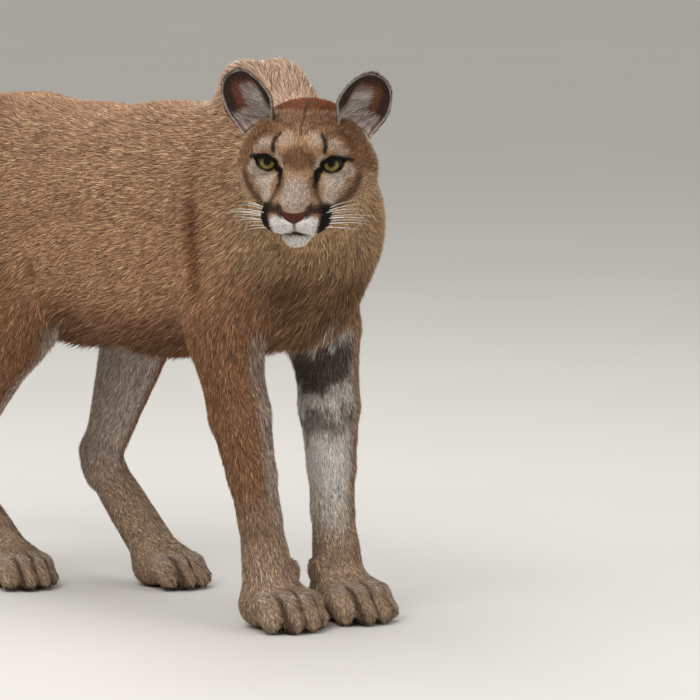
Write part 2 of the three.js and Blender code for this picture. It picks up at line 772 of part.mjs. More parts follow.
for (const [name, leg] of Object.entries(LEGS)) {
  const fore = Boolean(leg.wrist);
  const kind = fore ? FORE : HIND;
  const ending = (leg.s > 0 ? "_left" : "_right") + (fore ? "_fore" : "_hind");
  const taken = fore ? ["neck"] : ["tail", name + "_lower"];
  const upper = fleshOf(name + "_upper", legBox(leg, kind.upper), UPPER_CELL, taken);
  const lower = fleshOf(name + "_lower", legBox(leg, kind.lower), LOWER_CELL);
  const sole = fleshOf(name + "_foot", footBox(leg.foot.centre, kind.heel), FOOT_CELL);
  show(kind.names[0] + ending, upper, "coat");
  show(kind.names[1] + ending, lower, "coat");
  show(kind.names[2] + ending, sole.intersect(floorCut), "coat");
}

// Tail, in three lengths: rings of points around its middle line, out where the flesh ends
const TAIL_SIDES = 10;
const RAY_STEPS = 12;
const RAY_SHARE = 0.9;
const TAIL_LENGTHS = [
  ["tail_base", 1, 9, "coat"],
  ["tail_middle", 9, 18, "coat"],
  ["tail_tip", 18, TAIL_STEPS, "dark_coat"],
];

function tailRing(i, shift) {
  const ahead = new THREE.Vector3(...TAIL[Math.min(i + 1, TAIL_STEPS)][0]);
  const along = ahead.sub(new THREE.Vector3(...TAIL[i - 1][0])).normalize();
  const centre = new THREE.Vector3(...TAIL[i][0]).addScaledVector(along, shift);
  const right = new THREE.Vector3(1, 0, 0).addScaledVector(along, -along.x).normalize();
  const over = new THREE.Vector3().crossVectors(right, along);
  return Array.from({ length: TAIL_SIDES }, (_, k) => {
    const turn = (2 * Math.PI * k) / TAIL_SIDES;
    const ray = right.clone().multiplyScalar(Math.cos(turn)).addScaledVector(over, Math.sin(turn));
    let reach = 1;
    for (let step = 0; step < RAY_STEPS; step++)
      reach -= RAY_SHARE * body(centre.clone().addScaledVector(ray, reach).toArray());
    return centre.clone().addScaledVector(ray, reach).toArray();
  });
}

for (const [name, from, to, material] of TAIL_LENGTHS) {
  const rows = [];
  for (let i = from; i <= to; i++) rows.push(tailRing(i, i === from ? GAP / 2 : i === to ? -GAP / 2 : 0));
  let solid = closedLoft(rows, true);
  if (name === "tail_base") solid = solid.intersect(beyond(TAIL_CUT, GAP / 2));
  show(name, solid, material);
}

// The origin is on the floor, under the middle of the whole cat.
const box = new THREE.Box3().setFromObject(cougar);
cougar.position.set(-(box.min.x + box.max.x) / 2, -(box.min.y + box.max.y) / 2, -box.min.z);

export default cougar;
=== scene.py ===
import functools
import math

import bpy
import numpy as np
from bpy.props import FloatProperty, FloatVectorProperty, IntProperty, PointerProperty
from mathutils import Matrix, Vector


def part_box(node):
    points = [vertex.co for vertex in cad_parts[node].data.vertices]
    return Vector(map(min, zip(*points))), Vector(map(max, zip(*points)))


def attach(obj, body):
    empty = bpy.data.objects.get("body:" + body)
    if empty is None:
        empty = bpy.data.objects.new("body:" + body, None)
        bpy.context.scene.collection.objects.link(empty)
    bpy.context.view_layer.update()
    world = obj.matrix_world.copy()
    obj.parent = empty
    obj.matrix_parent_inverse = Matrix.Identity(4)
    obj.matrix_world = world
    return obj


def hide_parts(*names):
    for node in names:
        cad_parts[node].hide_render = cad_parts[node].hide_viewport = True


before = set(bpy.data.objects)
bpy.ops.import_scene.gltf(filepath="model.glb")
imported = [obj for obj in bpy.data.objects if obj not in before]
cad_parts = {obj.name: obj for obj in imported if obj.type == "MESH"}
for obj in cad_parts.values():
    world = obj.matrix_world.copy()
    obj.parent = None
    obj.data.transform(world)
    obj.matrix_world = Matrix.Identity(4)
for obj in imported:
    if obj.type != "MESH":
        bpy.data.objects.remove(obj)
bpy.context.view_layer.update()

bl_info = {
    "name": "Standing cougar",
    "version": (1, 0, 0),
    "blender": (4, 5, 0),
    "location": "View3D > Sidebar > Cougar",
    "description": "Skin, coat, eyes, whiskers and setting of a life-size standing cougar",
    "category": "Object",
}

# The flesh is described in millimetres, in the cat's own frame: nose towards -Y, left side +X, floor at 0
MM = 0.001
LEFT = 1
RIGHT = -1

# Driving dimensions
WITHERS = 642
HIP = 500
ELBOW = 342
WRIST = 130
HOCK = 142
FLOOR_BITE = 2.5
EYE_POINT = (-225, -277, 576)
HEAD_TURN = 48.5
HEAD_DROP = 18
HEAD_ROLL = 1.5
EYE = (-8, 36.5, -1)
EYE_RADIUS = 15.5

# Camera: from the cat's right and ahead of it, a little above, with a long lens
CAMERA_AZIMUTH = -42
CAMERA_ELEVATION = 6
CAMERA_DISTANCE = 7000
FRAME_PIXELS = 700
MM_PER_PIXEL = 1.2
SENSOR = 36
AIM = (55.7, -50.2, 326)


# Numbers and vectors
def mix(a, b, t):
    return a + (b - a) * t


def vec(*values):
    return np.array(values, dtype=np.float32)


def unit(v):
    v = np.asarray(v, dtype=np.float32)
    return v / np.maximum(np.linalg.norm(v, axis=-1, keepdims=True), 1e-6)


def size_of(v):
    return np.sqrt((v * v).sum(-1))


def smooth(x, low, high):
    """0 at low, 1 at high and a soft step between them. low may be the greater."""
    t = np.clip((x - low) / (high - low), 0, 1)
    return t * t * (3 - 2 * t)


def column(weight):
    return np.asarray(weight, np.float32)[:, None]


def highest(*values):
    return functools.reduce(np.maximum, values)


class Frame:
    """An origin and three unit vectors: forward, left and up."""

    def __init__(self, origin, turn, drop=0, roll=0):
        turned = Matrix.Rotation(math.radians(-turn), 3, "Z") @ Matrix.Rotation(math.radians(drop), 3, "X")
        turned = turned @ Matrix.Rotation(math.radians(roll), 3, "Y")
        left, back, up = (vec(*turned.col[i]) for i in range(3))
        self.origin = vec(*origin)
        self.axes = np.stack([-back, left, up])

    def local(self, p):
        return (np.asarray(p, np.float32) - self.origin) @ self.axes.T

    def world(self, q):
        return self.origin + np.asarray(q, np.float32) @ self.axes

    def turned_out(self, v):
        return np.asarray(v, np.float32) @ self.axes


# Flesh as distances, below 0 inside
def join(a, b, blend):
    h = np.maximum(blend - np.abs(a - b), 0) / blend
    return np.minimum(a, b) - h * h * blend * 0.25


def carve(a, b, blend):
    return -join(-a, b, blend)


def muscle(a, b, ra, rb, wide=1.0, wide_b=None, side=(1, 0, 0)):
    """A tapered rod from a to b. wide scales its width along the side vector."""
    a, b, side = vec(*a), vec(*b), vec(*side)
    d = b - a
    length2 = max(float(d @ d), 1e-6)
    wide_b = wide if wide_b is None else wide_b

    def distance(p):
        q = p - a
        t = np.clip(q @ d / length2, 0, 1)
        e = q - t[:, None] * d
        w = mix(wide, wide_b, t)
        s = e @ side
        rest = np.maximum((e * e).sum(1) - s * s, 0)
        return (np.sqrt(s * s / (w * w) + rest) - mix(ra, rb, t)) * np.minimum(w, 1)

    return distance


def egg(centre, radii):
    centre, radii = vec(*centre), vec(*radii)

    def distance(p):
        x = (p - centre) / radii
        k = size_of(x)
        g = size_of(x / radii)
        return np.where(g > 1e-9, k * (k - 1) / np.maximum(g, 1e-9), -radii.min())

    return distance


def flesh(muscles, blend):
    def distance(p):
        d = muscles[0](p)
        for part in muscles[1:]:
            d = join(d, part(p), blend)
        return d

    return distance


def chain(stations, blend, side=(1, 0, 0)):
    links = []
    for (a, ra, wa), (b, rb, wb) in zip(stations, stations[1:]):
        links.append(muscle(a, b, ra, rb, wa, wb, side))
    return flesh(links, blend)


def within(centre, radius, field, margin=60):
    """Skips a field where a point is so far outside its ball that no fillet reaches."""
    centre = vec(*centre)

    def distance(p):
        d = size_of(p - centre) - radius
        near = d <= margin
        if near.any():
            d[near] = field(p[near])
        return d

    return distance


# Trunk, from the breast to the root of the tail
TRUNK_STATIONS = [
    ((0, -62, 480), 76, 0.8),
    ((0, 40, WITHERS - 166), 158, 0.66),
    ((0, 215, 457), 155, 0.8),
    ((0, 370, 455), 151, 0.81),
    ((0, 480, 482), 128, 0.82),
    ((0, 575, 505), 102, 0.95),
    ((0, 640, 520), 62, 1.0),
]
BREAST = muscle((-8, -84, 456), (0, -30, 392), 52, 60)
SPINE = muscle((-24, 44, WITHERS - 4), (24, 44, WITHERS - 4), 26, 26)
trunk = flesh([chain(TRUNK_STATIONS, 30), BREAST, SPINE], 40)


def upper_foreleg(s):
    blade = muscle((s * 27, 44, WITHERS), (s * 54, -30, 494), 30, 50, 0.85, 0.6)
    arm = muscle((s * 56, -36, 480), (s * 76, 22, 362), 52, 50, 0.56, 0.7)
    back_of_arm = muscle((s * 60, 50, 500), (s * 76, 46, 368), 56, 44, 0.6)
    return flesh([blade, arm, back_of_arm], 34)


def forearm(s, wrist):
    stations = [
        ((s * 80, 22, ELBOW), 47, 0.86),
        ((mix(s * 80, wrist[0], 0.42), 4, mix(ELBOW, WRIST, 0.42)), 42, 0.92),
        ((mix(s * 80, wrist[0], 0.75), mix(4, wrist[1], 0.6), mix(ELBOW, WRIST, 0.75)), 33, 0.97),
        (wrist, 28.5, 1.0),
    ]
    return chain(stations, 6)


def thigh(s, knee):
    calf = (knee[0], mix(knee[1], 560, 0.55), mix(knee[2], HIP, 0.08))
    buttock = muscle((s * 50, 515, 535), (s * 56, 600, 505), 66, 72, 0.85)
    front = muscle((s * 60, 530, HIP - 8), knee, 104, 60, 0.58)
    back = muscle((s * 56, 606, 480), calf, 62, 50, 0.72, 0.62)
    return flesh([buttock, front, back], 40)


def shank(knee, hock):
    x, y, z = hock
    shin = muscle(knee, (x, y - 8, z + 14), 56, 27, 0.76)
    calf_top = (knee[0], mix(knee[1], y, 0.4) + 26, mix(knee[2], z, 0.25))
    calf = muscle(calf_top, (x, y + 8, z + 26), 46, 19, 0.72)
    heel = muscle((x, y + 12, z + 14), (x, y - 2, z - 12), 20, 25)
    return flesh([shin, calf, heel], 22)


# Toes of a foot: how far to its side each is, how far it reaches, and its size
TOES = ((-33, 44, 0.92), (-12, 58, 1.0), (12, 57, 1.0), (33, 42, 0.92))
LEGS = {
    "fore_left": dict(s=LEFT, wrist=(58, -16, WRIST), foot=(48, -54), turn=4, size=1.0, thumb=-1),
    "fore_right": dict(s=RIGHT, wrist=(-62, -20, WRIST), foot=(-58, -48), turn=8, size=1.0, thumb=1),
    "hind_left": dict(
        s=LEFT, knee=(98, 352, 372), hock=(74, 440, HOCK), foot=(70, 308), turn=-3, size=0.9, thumb=0
    ),
    "hind_right": dict(
        s=RIGHT, knee=(-98, 398, 338), hock=(-78, 556, HOCK - 4), foot=(-74, 432), turn=6, size=0.9, thumb=0
    ),
}


def foot_frame(leg):
    return Frame((leg["foot"][0], leg["foot"][1], -FLOOR_BITE), leg["turn"])


def foot(leg):
    place = foot_frame(leg)
    k = leg["size"]
    heel_pad = egg((-8 * k, 0, 26 * k), (42 * k, 40 * k, 28 * k))
    front_pad = egg((14 * k, 0, 32 * k), (30 * k, 43 * k, 22 * k))
    palm = flesh([heel_pad, front_pad], 12)
    toes = []
    for side, reach, size in TOES:
        r = 16 * k * size
        root = (8 * k, side * 0.82 * k, 36 * k)
        knuckle = ((reach - 24) * k, side * k, 33 * k)
        end = ((reach - 6) * k, side * 1.03 * k, 17 * k)
        bones = [muscle(root, knuckle, r, r * 1.06), muscle(knuckle, end, r * 1.06, r * 0.98)]
        toes.append(flesh(bones, 6))
    toes = flesh(toes, 3.5)
    top = leg.get("wrist") or leg["hock"]
    cannon = muscle(top, place.world((-16 * k, 0, 42 * k)), 27, 33 * k, 1.0, 1.08, place.axes[1])
    thumb = egg((-20, leg["thumb"] * 33, 66), (14, 10, 17)) if leg["thumb"] else None

    def distance(p):
        q = place.local(p)
        d = join(join(palm(q), toes(q), 10), cannon(p), 22)
        return join(d, thumb(q), 10) if thumb else d

    return distance


def limb(name):
    """The upper leg, the lower leg and the foot: name, distance and the way that the hair lies."""
    leg = LEGS[name]
    s = leg["s"]
    if "wrist" in leg:
        top = leg["wrist"]
        knee = (s * 80, 22, ELBOW)
        middle = (s * 78, 0, 238)
        shoulder = (s * 70, -5, 500)
        upper, lower = upper_foreleg(s), forearm(s, top)
    else:
        top = leg["hock"]
        knee = leg["knee"]
        middle = tuple(mix(a, b, 0.5) for a, b in zip(knee, top))
        shoulder = (s * 70, 500, 450)
        upper, lower = thigh(s, knee), shank(knee, top)
    toes = foot_frame(leg).world((50, 0, 15))
    sole = within((leg["foot"][0], leg["foot"][1] + 10, 70), 140, foot(leg))
    down = vec(*top) - vec(*knee)
    thigh_lie = vec(0, 0.35, -1) if "wrist" in leg else vec(0, -0.1, -1) + 0.3 * unit(down)
    return [
        (name + "_upper", within(shoulder, 260, upper), unit(thigh_lie)),
        (name + "_lower", within(middle, 210, lower), unit(down)),
        (name + "_foot", sole, unit(toes - vec(*top))),
    ]


# Tail: hangs from the rump in a loose J
TAIL_POINTS = (
    (0, 628, 548),
    (2, 700, 520),
    (10, 762, 430),
    (20, 790, 320),
    (34, 822, 205),
    (48, 888, 122),
    (58, 976, 106),
    (62, 1042, 142),
)
TAIL_RADII = (42, 35, 30.5, 29, 28.5, 28, 26.5, 20)
TAIL_STEPS = 24


def curve_point(points, u):
    """The point at u, from 0 to 1, of a centripetal Catmull-Rom curve with its ends carried straight on."""
    p = [2 * points[0] - points[1], *points, 2 * points[-1] - points[-2]]
    span = u * (len(points) - 1)
    k = min(int(span), len(points) - 2)
    t = span - k
    a, b, c, d = p[k : k + 4]
    before, here, after = (size_of(y - x) ** 0.5 for x, y in ((a, b), (b, c), (c, d)))
    out = ((b - a) / before - (c - a) / (before + here) + (c - b) / here) * here
    back = ((c - b) / here - (d - b) / (here + after) + (d - c) / after) * here
    return b + t * out + t * t * (3 * (c - b) - 2 * out - back) + t**3 * (2 * (b - c) + out + back)


def tail_stations():
    points = [np.array(point, float) for point in TAIL_POINTS]
    stations = []
    for i in range(TAIL_STEPS + 1):
        u = i / TAIL_STEPS
        radius = np.interp(u * (len(TAIL_RADII) - 1), range(len(TAIL_RADII)), TAIL_RADII)
        stations.append((tuple(curve_point(points, u)), radius, 1))
    return stations


TAIL = tail_stations()
TAIL_PATH = np.array([place for place, _, _ in TAIL], np.float32)
tail = within((30, 820, 330), 345, chain(TAIL, 3))

# Neck and head. The head is in its own frame, with left folded onto right.
HEAD = Frame(EYE_POINT, HEAD_TURN, HEAD_DROP, HEAD_ROLL)
NAPE = HEAD.world((-88, 0, -22))
NECK_STATIONS = [
    ((0, 20, 536), 88, 0.72),
    ((-44, -88, 528), 82, 0.84),
    ((mix(-44, NAPE[0], 0.5), mix(-88, NAPE[1], 0.5), 536), 74, 0.95),
    (tuple(NAPE), 62, 1.05),
]
neck = chain(NECK_STATIONS, 24, (0.83, -0.56, 0))
skull = flesh(
    [
        egg((-66, 0, -1), (64, 58, 41)),
        egg((-34, 0, 5), (40, 48, 31)),
        egg((-44, 40, -22), (46, 34, 36)),
        egg((-72, 44, -36), (44, 40, 42)),
        egg((-30, 30, -60), (46, 34, 32)),
        egg((-9, 32, 15), (19, 21, 12)),
    ],
    20,
)
muzzle = flesh(
    [
        muscle((-2, 0, -6), (52, 0, -34), 25, 17, 1.0, 1.15, (0, 1, 0)),
        muscle((4, 16, -34), (40, 15, -44), 28, 21),
        egg((43, 17, -47), (26, 23, 18)),
    ],
    11,
)
nose = egg((54, 0, -38), (13, 19, 13))
chin = flesh([egg((42, 0, -71), (17, 17, 14)), muscle((24, 6, -70), (-34, 28, -70), 14, 27)], 12)


def folded(q):
    q = np.array(q, np.float32)
    q[:, 1] = np.abs(q[:, 1])
    return q


def head_outline(q):
    """The head out to the tips of its coat, as q in its own frame with left folded onto right."""
    d = join(skull(q), muzzle(q), 18)
    d = join(d, nose(q), 3)
    return join(d, chin(q), 3)


head = within(HEAD.world((-30, 0, -25)), 150, lambda p: head_outline(folded(HEAD.local(p))))
LIMBS = [part for name in LEGS for part in limb(name)]
LIMB_BLENDS = {"upper": 30, "lower": 26, "foot": 8}

# Lie of the coat on the trunk and the neck, and the point on the nose that the face's hair runs from
TRUNK_LIE = unit(vec(0, 1, -0.3))
NECK_LIE = unit(vec(0.6, 0.62, -0.5))
HAIR_START = vec(70, 0, -30)


def anatomy(p):
    """The distance to each part of the body, by name."""
    parts = {"trunk": trunk(p), "neck": neck(p), "head": head(p), "tail": tail(p)}
    for name, field, _ in LIMBS:
        parts[name] = field(p)
    return parts


def joined(parts):
    d = join(parts["trunk"], parts["neck"], 50)
    for kind, blend in LIMB_BLENDS.items():
        for name, _, _ in LIMBS:
            if name.endswith(kind):
                d = join(d, parts[name], blend)
    return join(join(d, parts["head"], 26), parts["tail"], 30)


def shares_of(parts, softness=12):
    """How much each point belongs to each part, adding up to 1."""
    nearest = functools.reduce(np.minimum, parts.values())
    weights = {name: np.exp((nearest - d) / softness) for name, d in parts.items()}
    total = sum(weights.values())
    return {name: w / total for name, w in weights.items()}


def share(shares, ending):
    return sum(w for name, w in shares.items() if name.endswith(ending))


def lie_of(p, shares):
    """The way that the hair lies, not yet turned along the skin."""
    q = HEAD.local(p)
    away = q - HAIR_START
    away[:, 0] = np.minimum(away[:, 0], -12)
    nearest = np.argmin(((p[:, None, :] - TAIL_PATH[None, ::2, :]) ** 2).sum(2), axis=1) * 2
    lie = column(shares["trunk"]) * TRUNK_LIE + column(shares["neck"]) * NECK_LIE
    lie = lie + column(shares["head"]) * HEAD.turned_out(unit(away))
    lie = lie + column(shares["tail"]) * unit(np.gradient(TAIL_PATH, axis=0))[nearest]
    on_back = column(smooth(p[:, 2], 470, 590))
    for name, _, way in LIMBS:
        lie = lie + column(shares[name]) * mix(way, TRUNK_LIE, on_back)
    return lie


# The coat by part: depth over the skin, then a tuft's length, width and lift in degrees, and how many
# tufts lie over each point
COAT = {
    "trunk": (7.0, 11, 1.25, 17, 1.75),
    "neck": (7.0, 10, 1.05, 17, 1.55),
    "upper": (6.5, 10.5, 1.2, 16, 1.8),
    "lower": (4.5, 8.5, 1.1, 15, 1.7),
    "foot": (3.0, 7, 1.3, 14, 1.7),
    "tail": (7.5, 15, 1.6, 18, 2.0),
    "head": (3.6, 6.5, 0.9, 15, 2.0),
}
FACE_COAT = (2.2, 4.2, 0.8, 13, 2.0)
MUZZLE_COAT = (1.6, 3.2, 0.7, 13, 2.0)
LID_COAT = (1.0, 2.2, 0.6, 9, 2.0)
RUFF_COAT = (5.5, 11, 1.15, 19, 1.9)
THROAT_COAT = (8.5, 13, 1.2, 19, 1.65)
BELLY_COAT = (11, 24, 1.7, 19, 2.0)
TIP_COAT = (8, 20, 1.9, 24, 2.0)
HIND_COVER = 0.7


def crown_of(p):
    """1 on the top of the skull, where the neck's flesh lies close under the head's."""
    q = HEAD.local(p)
    return smooth(q[:, 0], -118, -98) * smooth(q[:, 2], -4, 14) * smooth(size_of(q), 160, 140)


def coat_of(p, shares):
    """Depth, length, width, lift and cover of the coat at each point."""
    values = sum(column(share(shares, name)) * vec(*row) for name, row in COAT.items())
    q = folded(HEAD.local(p))
    on_head = shares["head"]
    body_share = shares["trunk"] + shares["neck"]
    tail_end = shares["tail"] * smooth(p[:, 1], 985, 1040)
    for weight, row in (
        (crown_of(p), COAT["head"]),
        (on_head * smooth(q[:, 0], -50, -12), FACE_COAT),
        (on_head * smooth(q[:, 0], 8, 34), MUZZLE_COAT),
        (on_head * smooth(opening(q), 8, 3), LID_COAT),
        (on_head * smooth(q[:, 0], -34, -76) * smooth(q[:, 2], 4, -34), RUFF_COAT),
        (body_share * smooth(p[:, 2], 530, 440) * smooth(p[:, 1], 70, -40), THROAT_COAT),
        (shares["trunk"] * smooth(p[:, 2], 400, 325), BELLY_COAT),
        (tail_end, TIP_COAT),
    ):
        values = mix(values, vec(*row), column(np.clip(weight, 0, 1)))
    on_hind = smooth(p[:, 1], 150, 300) * (1 - body_share - shares["tail"])
    values[:, 4] *= mix(1, HIND_COVER, on_hind)
    return values


# Lids: the axis that an eye's opening looks along, and the opening's half-width, heights and slant
SOCKET_AXIS = unit(vec(0.93, 0.2, 0.26))
SOCKET_UP = unit(vec(0, 0, 1) - SOCKET_AXIS * SOCKET_AXIS[2])
SOCKET_OUT = unit(vec(0, 1, 0) - SOCKET_AXIS * SOCKET_AXIS[1] - SOCKET_UP * SOCKET_UP[1])
LID = 2.0
LID_HALF = 12.0
LID_RISE = 4.4
LID_FALL = 7.8
LID_SLANT = 0.2
EYE_GAP_DEPTH = 2.4


def opening(q):
    """How far a point lies outside the almond between the lids, on q folded. Below 0 between them."""
    e = q - vec(*EYE)
    out = e @ SOCKET_OUT
    up = e @ SOCKET_UP - LID_SLANT * out
    arch = np.sqrt(np.maximum(1 - (out / LID_HALF) ** 2, 0))
    inside = np.maximum(up - LID_RISE * arch**0.8, -LID_FALL * arch - up)
    past_corner = np.hypot(np.maximum(np.abs(out) - LID_HALF, 0), up)
    gap = np.where(np.abs(out) < LID_HALF, inside, past_corner)
    return np.where(e @ SOCKET_AXIS > 0, gap, 30)


# Creases of the face
MOUTH_HEIGHT = -64.5
MOUTH_CORNER = 27
PHILTRUM = 56
TEAR_LINE = ((14, 21, -6), (25, 24, -17))


def segment_distance(q, a, b):
    a, b = vec(*a), vec(*b)
    t = np.clip((q - a) @ (b - a) / float((b - a) @ (b - a)), 0, 1)
    return size_of(q - a - t[:, None] * (b - a))


def mouth_height(q):
    return MOUTH_HEIGHT - 0.0045 * q[:, 1] ** 2 + 1.6 * np.exp(-((q[:, 1] / 5) ** 2))


def face(q, d):
    """Adds the sockets, lids, mouth and creases to the skin of the head."""
    d = carve(d, egg((14, 37, 0), (12, 17, 12))(q), 9)
    from_eye = size_of(q - vec(*EYE))
    d = join(d, from_eye - EYE_RADIUS - LID, 5)
    d = carve(d, np.maximum(opening(q), EYE_RADIUS - EYE_GAP_DEPTH - from_eye), 1.5)
    d = carve(d, segment_distance(q, *TEAR_LINE) - 3.0, 4)
    lips = np.maximum(np.abs(q[:, 2] - mouth_height(q)) - 0.5, np.abs(q[:, 1]) - MOUTH_CORNER)
    d = carve(d, np.maximum(lips, -4.5 - d), 2.4)
    philtrum = np.maximum(np.abs(q[:, 1]) - 0.4, np.abs(q[:, 2] + PHILTRUM) - 8)
    return carve(d, highest(philtrum, -2.5 - d, 30 - q[:, 0]), 2.0)


# Folds of loose skin: two ends of each, its depth and its width
FOLDS = (
    ((-90, 60, 608), (-112, 50, 500), 9, 9),
    ((-112, 50, 500), (-116, 42, 405), 10, 9),
    ((-108, 84, 565), (-117, 78, 430), 8, 9),
    ((-102, 118, 580), (-112, 112, 500), 4, 9),
    ((-84, 2, 600), (-104, -30, 520), 5, 12),
    ((112, 56, 560), (116, 44, 420), 7, 10),
    ((-88, 366, 552), (-92, 330, 500), 3, 16),
    ((-92, 330, 500), (-106, 350, 400), 11, 12),
    ((92, 300, 500), (104, 330, 410), 5, 12),
)


def skin(p):
    parts = anatomy(p)
    d = joined(parts) + coat_of(p, shares_of(parts))[:, 0]
    for a, b, depth, width in FOLDS:
        d = d + depth * np.exp(-((segment_distance(p, a, b) / width) ** 2))
    q = folded(HEAD.local(p))
    near = size_of(q - vec(10, 0, -30)) < 110
    if near.any():
        d[near] = face(q[near], d[near])
    return d


def slope(field, p, h):
    """The field and its gradient at points, from four samples around each."""
    corners = vec(1, -1, -1), vec(-1, -1, 1), vec(-1, 1, -1), vec(1, 1, 1)
    samples = [field(p + h * corner) for corner in corners]
    gradient = sum(column(s) * corner for s, corner in zip(samples, corners)) / (4 * h)
    return sum(samples) / 4, gradient


def settle(field, p, h=0.6, rounds=3, most=4.0):
    """Moves points onto the surface where the field is 0."""
    for _ in range(rounds):
        value, gradient = slope(field, p, h)
        step = column(value / np.maximum((gradient**2).sum(1), 0.25)) * gradient
        reach = column(np.maximum(size_of(step) / most, 1))
        p = p - step / reach
    return p.astype(np.float32)


def net(field, low, high, cell):
    """A mesh of the surface where the field is 0, one point in each cell that it crosses."""
    counts = np.ceil((np.array(high) - low) / cell).astype(int) + 1
    axes = [np.float32(low[i]) + np.float32(cell) * np.arange(counts[i], dtype=np.float32) for i in range(3)]
    values = np.empty(counts, np.float32)
    for i, x in enumerate(axes[0]):
        y, z = np.meshgrid(axes[1], axes[2], indexing="ij")
        sheet = np.stack([np.full(y.size, x, np.float32), y.ravel(), z.ravel()], 1)
        values[i] = field(sheet).reshape(y.shape)
    values[[0, -1]] = values[:, [0, -1]] = values[:, :, [0, -1]] = 1
    inside = values < 0
    total = np.zeros((*counts, 3), np.float32)
    hits = np.zeros(counts, np.int32)
    crossings = []
    for axis in range(3):
        step = np.eye(3, dtype=int)[axis]
        start = tuple(slice(0, counts[i] - step[i]) for i in range(3))
        end = tuple(slice(step[i], counts[i]) for i in range(3))
        at = np.argwhere(inside[start] != inside[end])
        a, b = values[tuple(at.T)], values[tuple((at + step).T)]
        place = at + column(a / (a - b)) * step
        u, v = np.eye(3, dtype=int)[(axis + 1) % 3], np.eye(3, dtype=int)[(axis + 2) % 3]
        ring = [at - u - v, at - v, at, at - u]
        for cube in ring:
            np.add.at(total, tuple(cube.T), place)
            np.add.at(hits, tuple(cube.T), 1)
        crossings.append((ring, a < 0))
    filled = hits > 0
    number = np.cumsum(filled.ravel()).reshape(counts) - 1
    points = total[filled] / hits[filled][:, None] * cell + np.array(low, np.float32)
    quads = []
    for ring, outward in crossings:
        quad = np.stack([number[tuple(cube.T)] for cube in ring], 1)
        quads.append(np.where(outward[:, None], quad, quad[:, ::-1]))
    quads = np.concatenate(quads)
    triangles = np.concatenate([quads[:, [0, 1, 2]], quads[:, [0, 2, 3]]])
    return points.astype(np.float32), triangles


def split(points, triangles, chosen):
    """Halves the edges of the chosen triangles, and parts their neighbours to fit."""
    sides = np.sort(triangles[:, [[0, 1], [1, 2], [2, 0]]].reshape(-1, 2), axis=1)
    key, back = np.unique(sides[:, 0].astype(np.int64) * len(points) + sides[:, 1], return_inverse=True)
    back = back.reshape(-1, 3)
    marked = np.zeros(len(key), bool)
    marked[back[chosen]] = True
    halves = np.cumsum(marked) - 1 + len(points)
    a, b = key[marked] // len(points), key[marked] % len(points)
    grown = np.concatenate([points, (points[a] + points[b]) / 2])
    hit = marked[back]
    count = hit.sum(1)
    made = [triangles[count == 0]]
    for number in (1, 2, 3):
        for turn in range(3 if number < 3 else 1):
            order = [(turn + i) % 3 for i in range(3)]
            pattern = hit[:, order] == (np.arange(3) < number)
            rows = pattern.all(1) & (count == number)
            x, y, z = triangles[rows][:, order].T
            xy, yz, zx = halves[back[rows]][:, order].T
            if number == 1:
                made += [np.stack(t, 1) for t in ((x, xy, z), (xy, y, z))]
            elif number == 2:
                made += [np.stack(t, 1) for t in ((x, xy, z), (xy, y, yz), (xy, yz, z))]
            else:
                made += [np.stack(t, 1) for t in ((x, xy, zx), (xy, y, yz), (zx, yz, z), (xy, yz, zx))]
    return grown, np.concatenate(made)


def relax(points, triangles, amount):
    """Evens out a mesh by drawing each point towards its neighbours."""
    total = np.zeros_like(points)
    count = np.zeros(len(points), np.float32)
    for a, b in ((0, 1), (1, 2), (2, 0)):
        np.add.at(total, triangles[:, a], points[triangles[:, b]])
        np.add.at(count, triangles[:, a], 1)
    return mix(points, total / column(np.maximum(count, 1)), amount)


def normals_of(points, triangles):
    a, b, c = (points[triangles[:, i]] for i in range(3))
    face_normals = np.cross(b - a, c - a)
    total = np.zeros_like(points)
    for i in range(3):
        np.add.at(total, triangles[:, i], face_normals)
    return unit(total)


def between_rings(count, n):
    """Triangles between each ring of n points and the next, for so many rings."""
    ring = np.arange(n)
    after = (ring + 1) % n
    triangles = []
    for low in range(0, (count - 1) * n, n):
        high = low + n
        triangles.append(np.stack([low + ring, low + after, high + after], 1))
        triangles.append(np.stack([low + ring, high + after, high + ring], 1))
    return np.concatenate(triangles)


# The skin's mesh
SKIN_BOX = ((-300, -350, -8), (165, 1075, 700))
SKIN_CELL = 8.0
SKIN_FLOOR = 0.3


@functools.cache
def body_surface():
    """Points and triangles of the skin, finest on the face, without the ears."""
    points, triangles = net(skin, *SKIN_BOX, SKIN_CELL)
    points = settle(skin, points)

    def middle():
        return points[triangles].mean(1)

    def refined(chosen):
        grown, parted = split(points, triangles, chosen)
        grown = relax(grown, parted, 0.35)
        return settle(skin, grown, rounds=2), parted

    q = HEAD.local(middle())
    on_head = (q[:, 0] > -120) & (size_of(q - vec(-20, 0, -25)) < 125)
    points, triangles = refined(on_head | (middle()[:, 2] < 90))
    q = HEAD.local(middle())
    points, triangles = refined((q[:, 0] > -75) & (size_of(q - vec(0, 0, -30)) < 105))
    q = folded(HEAD.local(middle()))
    by_eye = size_of(q - vec(*EYE) - SOCKET_AXIS * 14) < 21
    by_mouth = (q[:, 0] > 22) & (q[:, 2] < -20) & (q[:, 1] < 40)
    points, triangles = refined(by_eye | by_mouth)
    q = folded(HEAD.local(middle()))
    points, triangles = refined(np.abs(opening(q)) < 3.0)
    points[:, 2] = np.maximum(points[:, 2], SKIN_FLOOR)
    return points, triangles


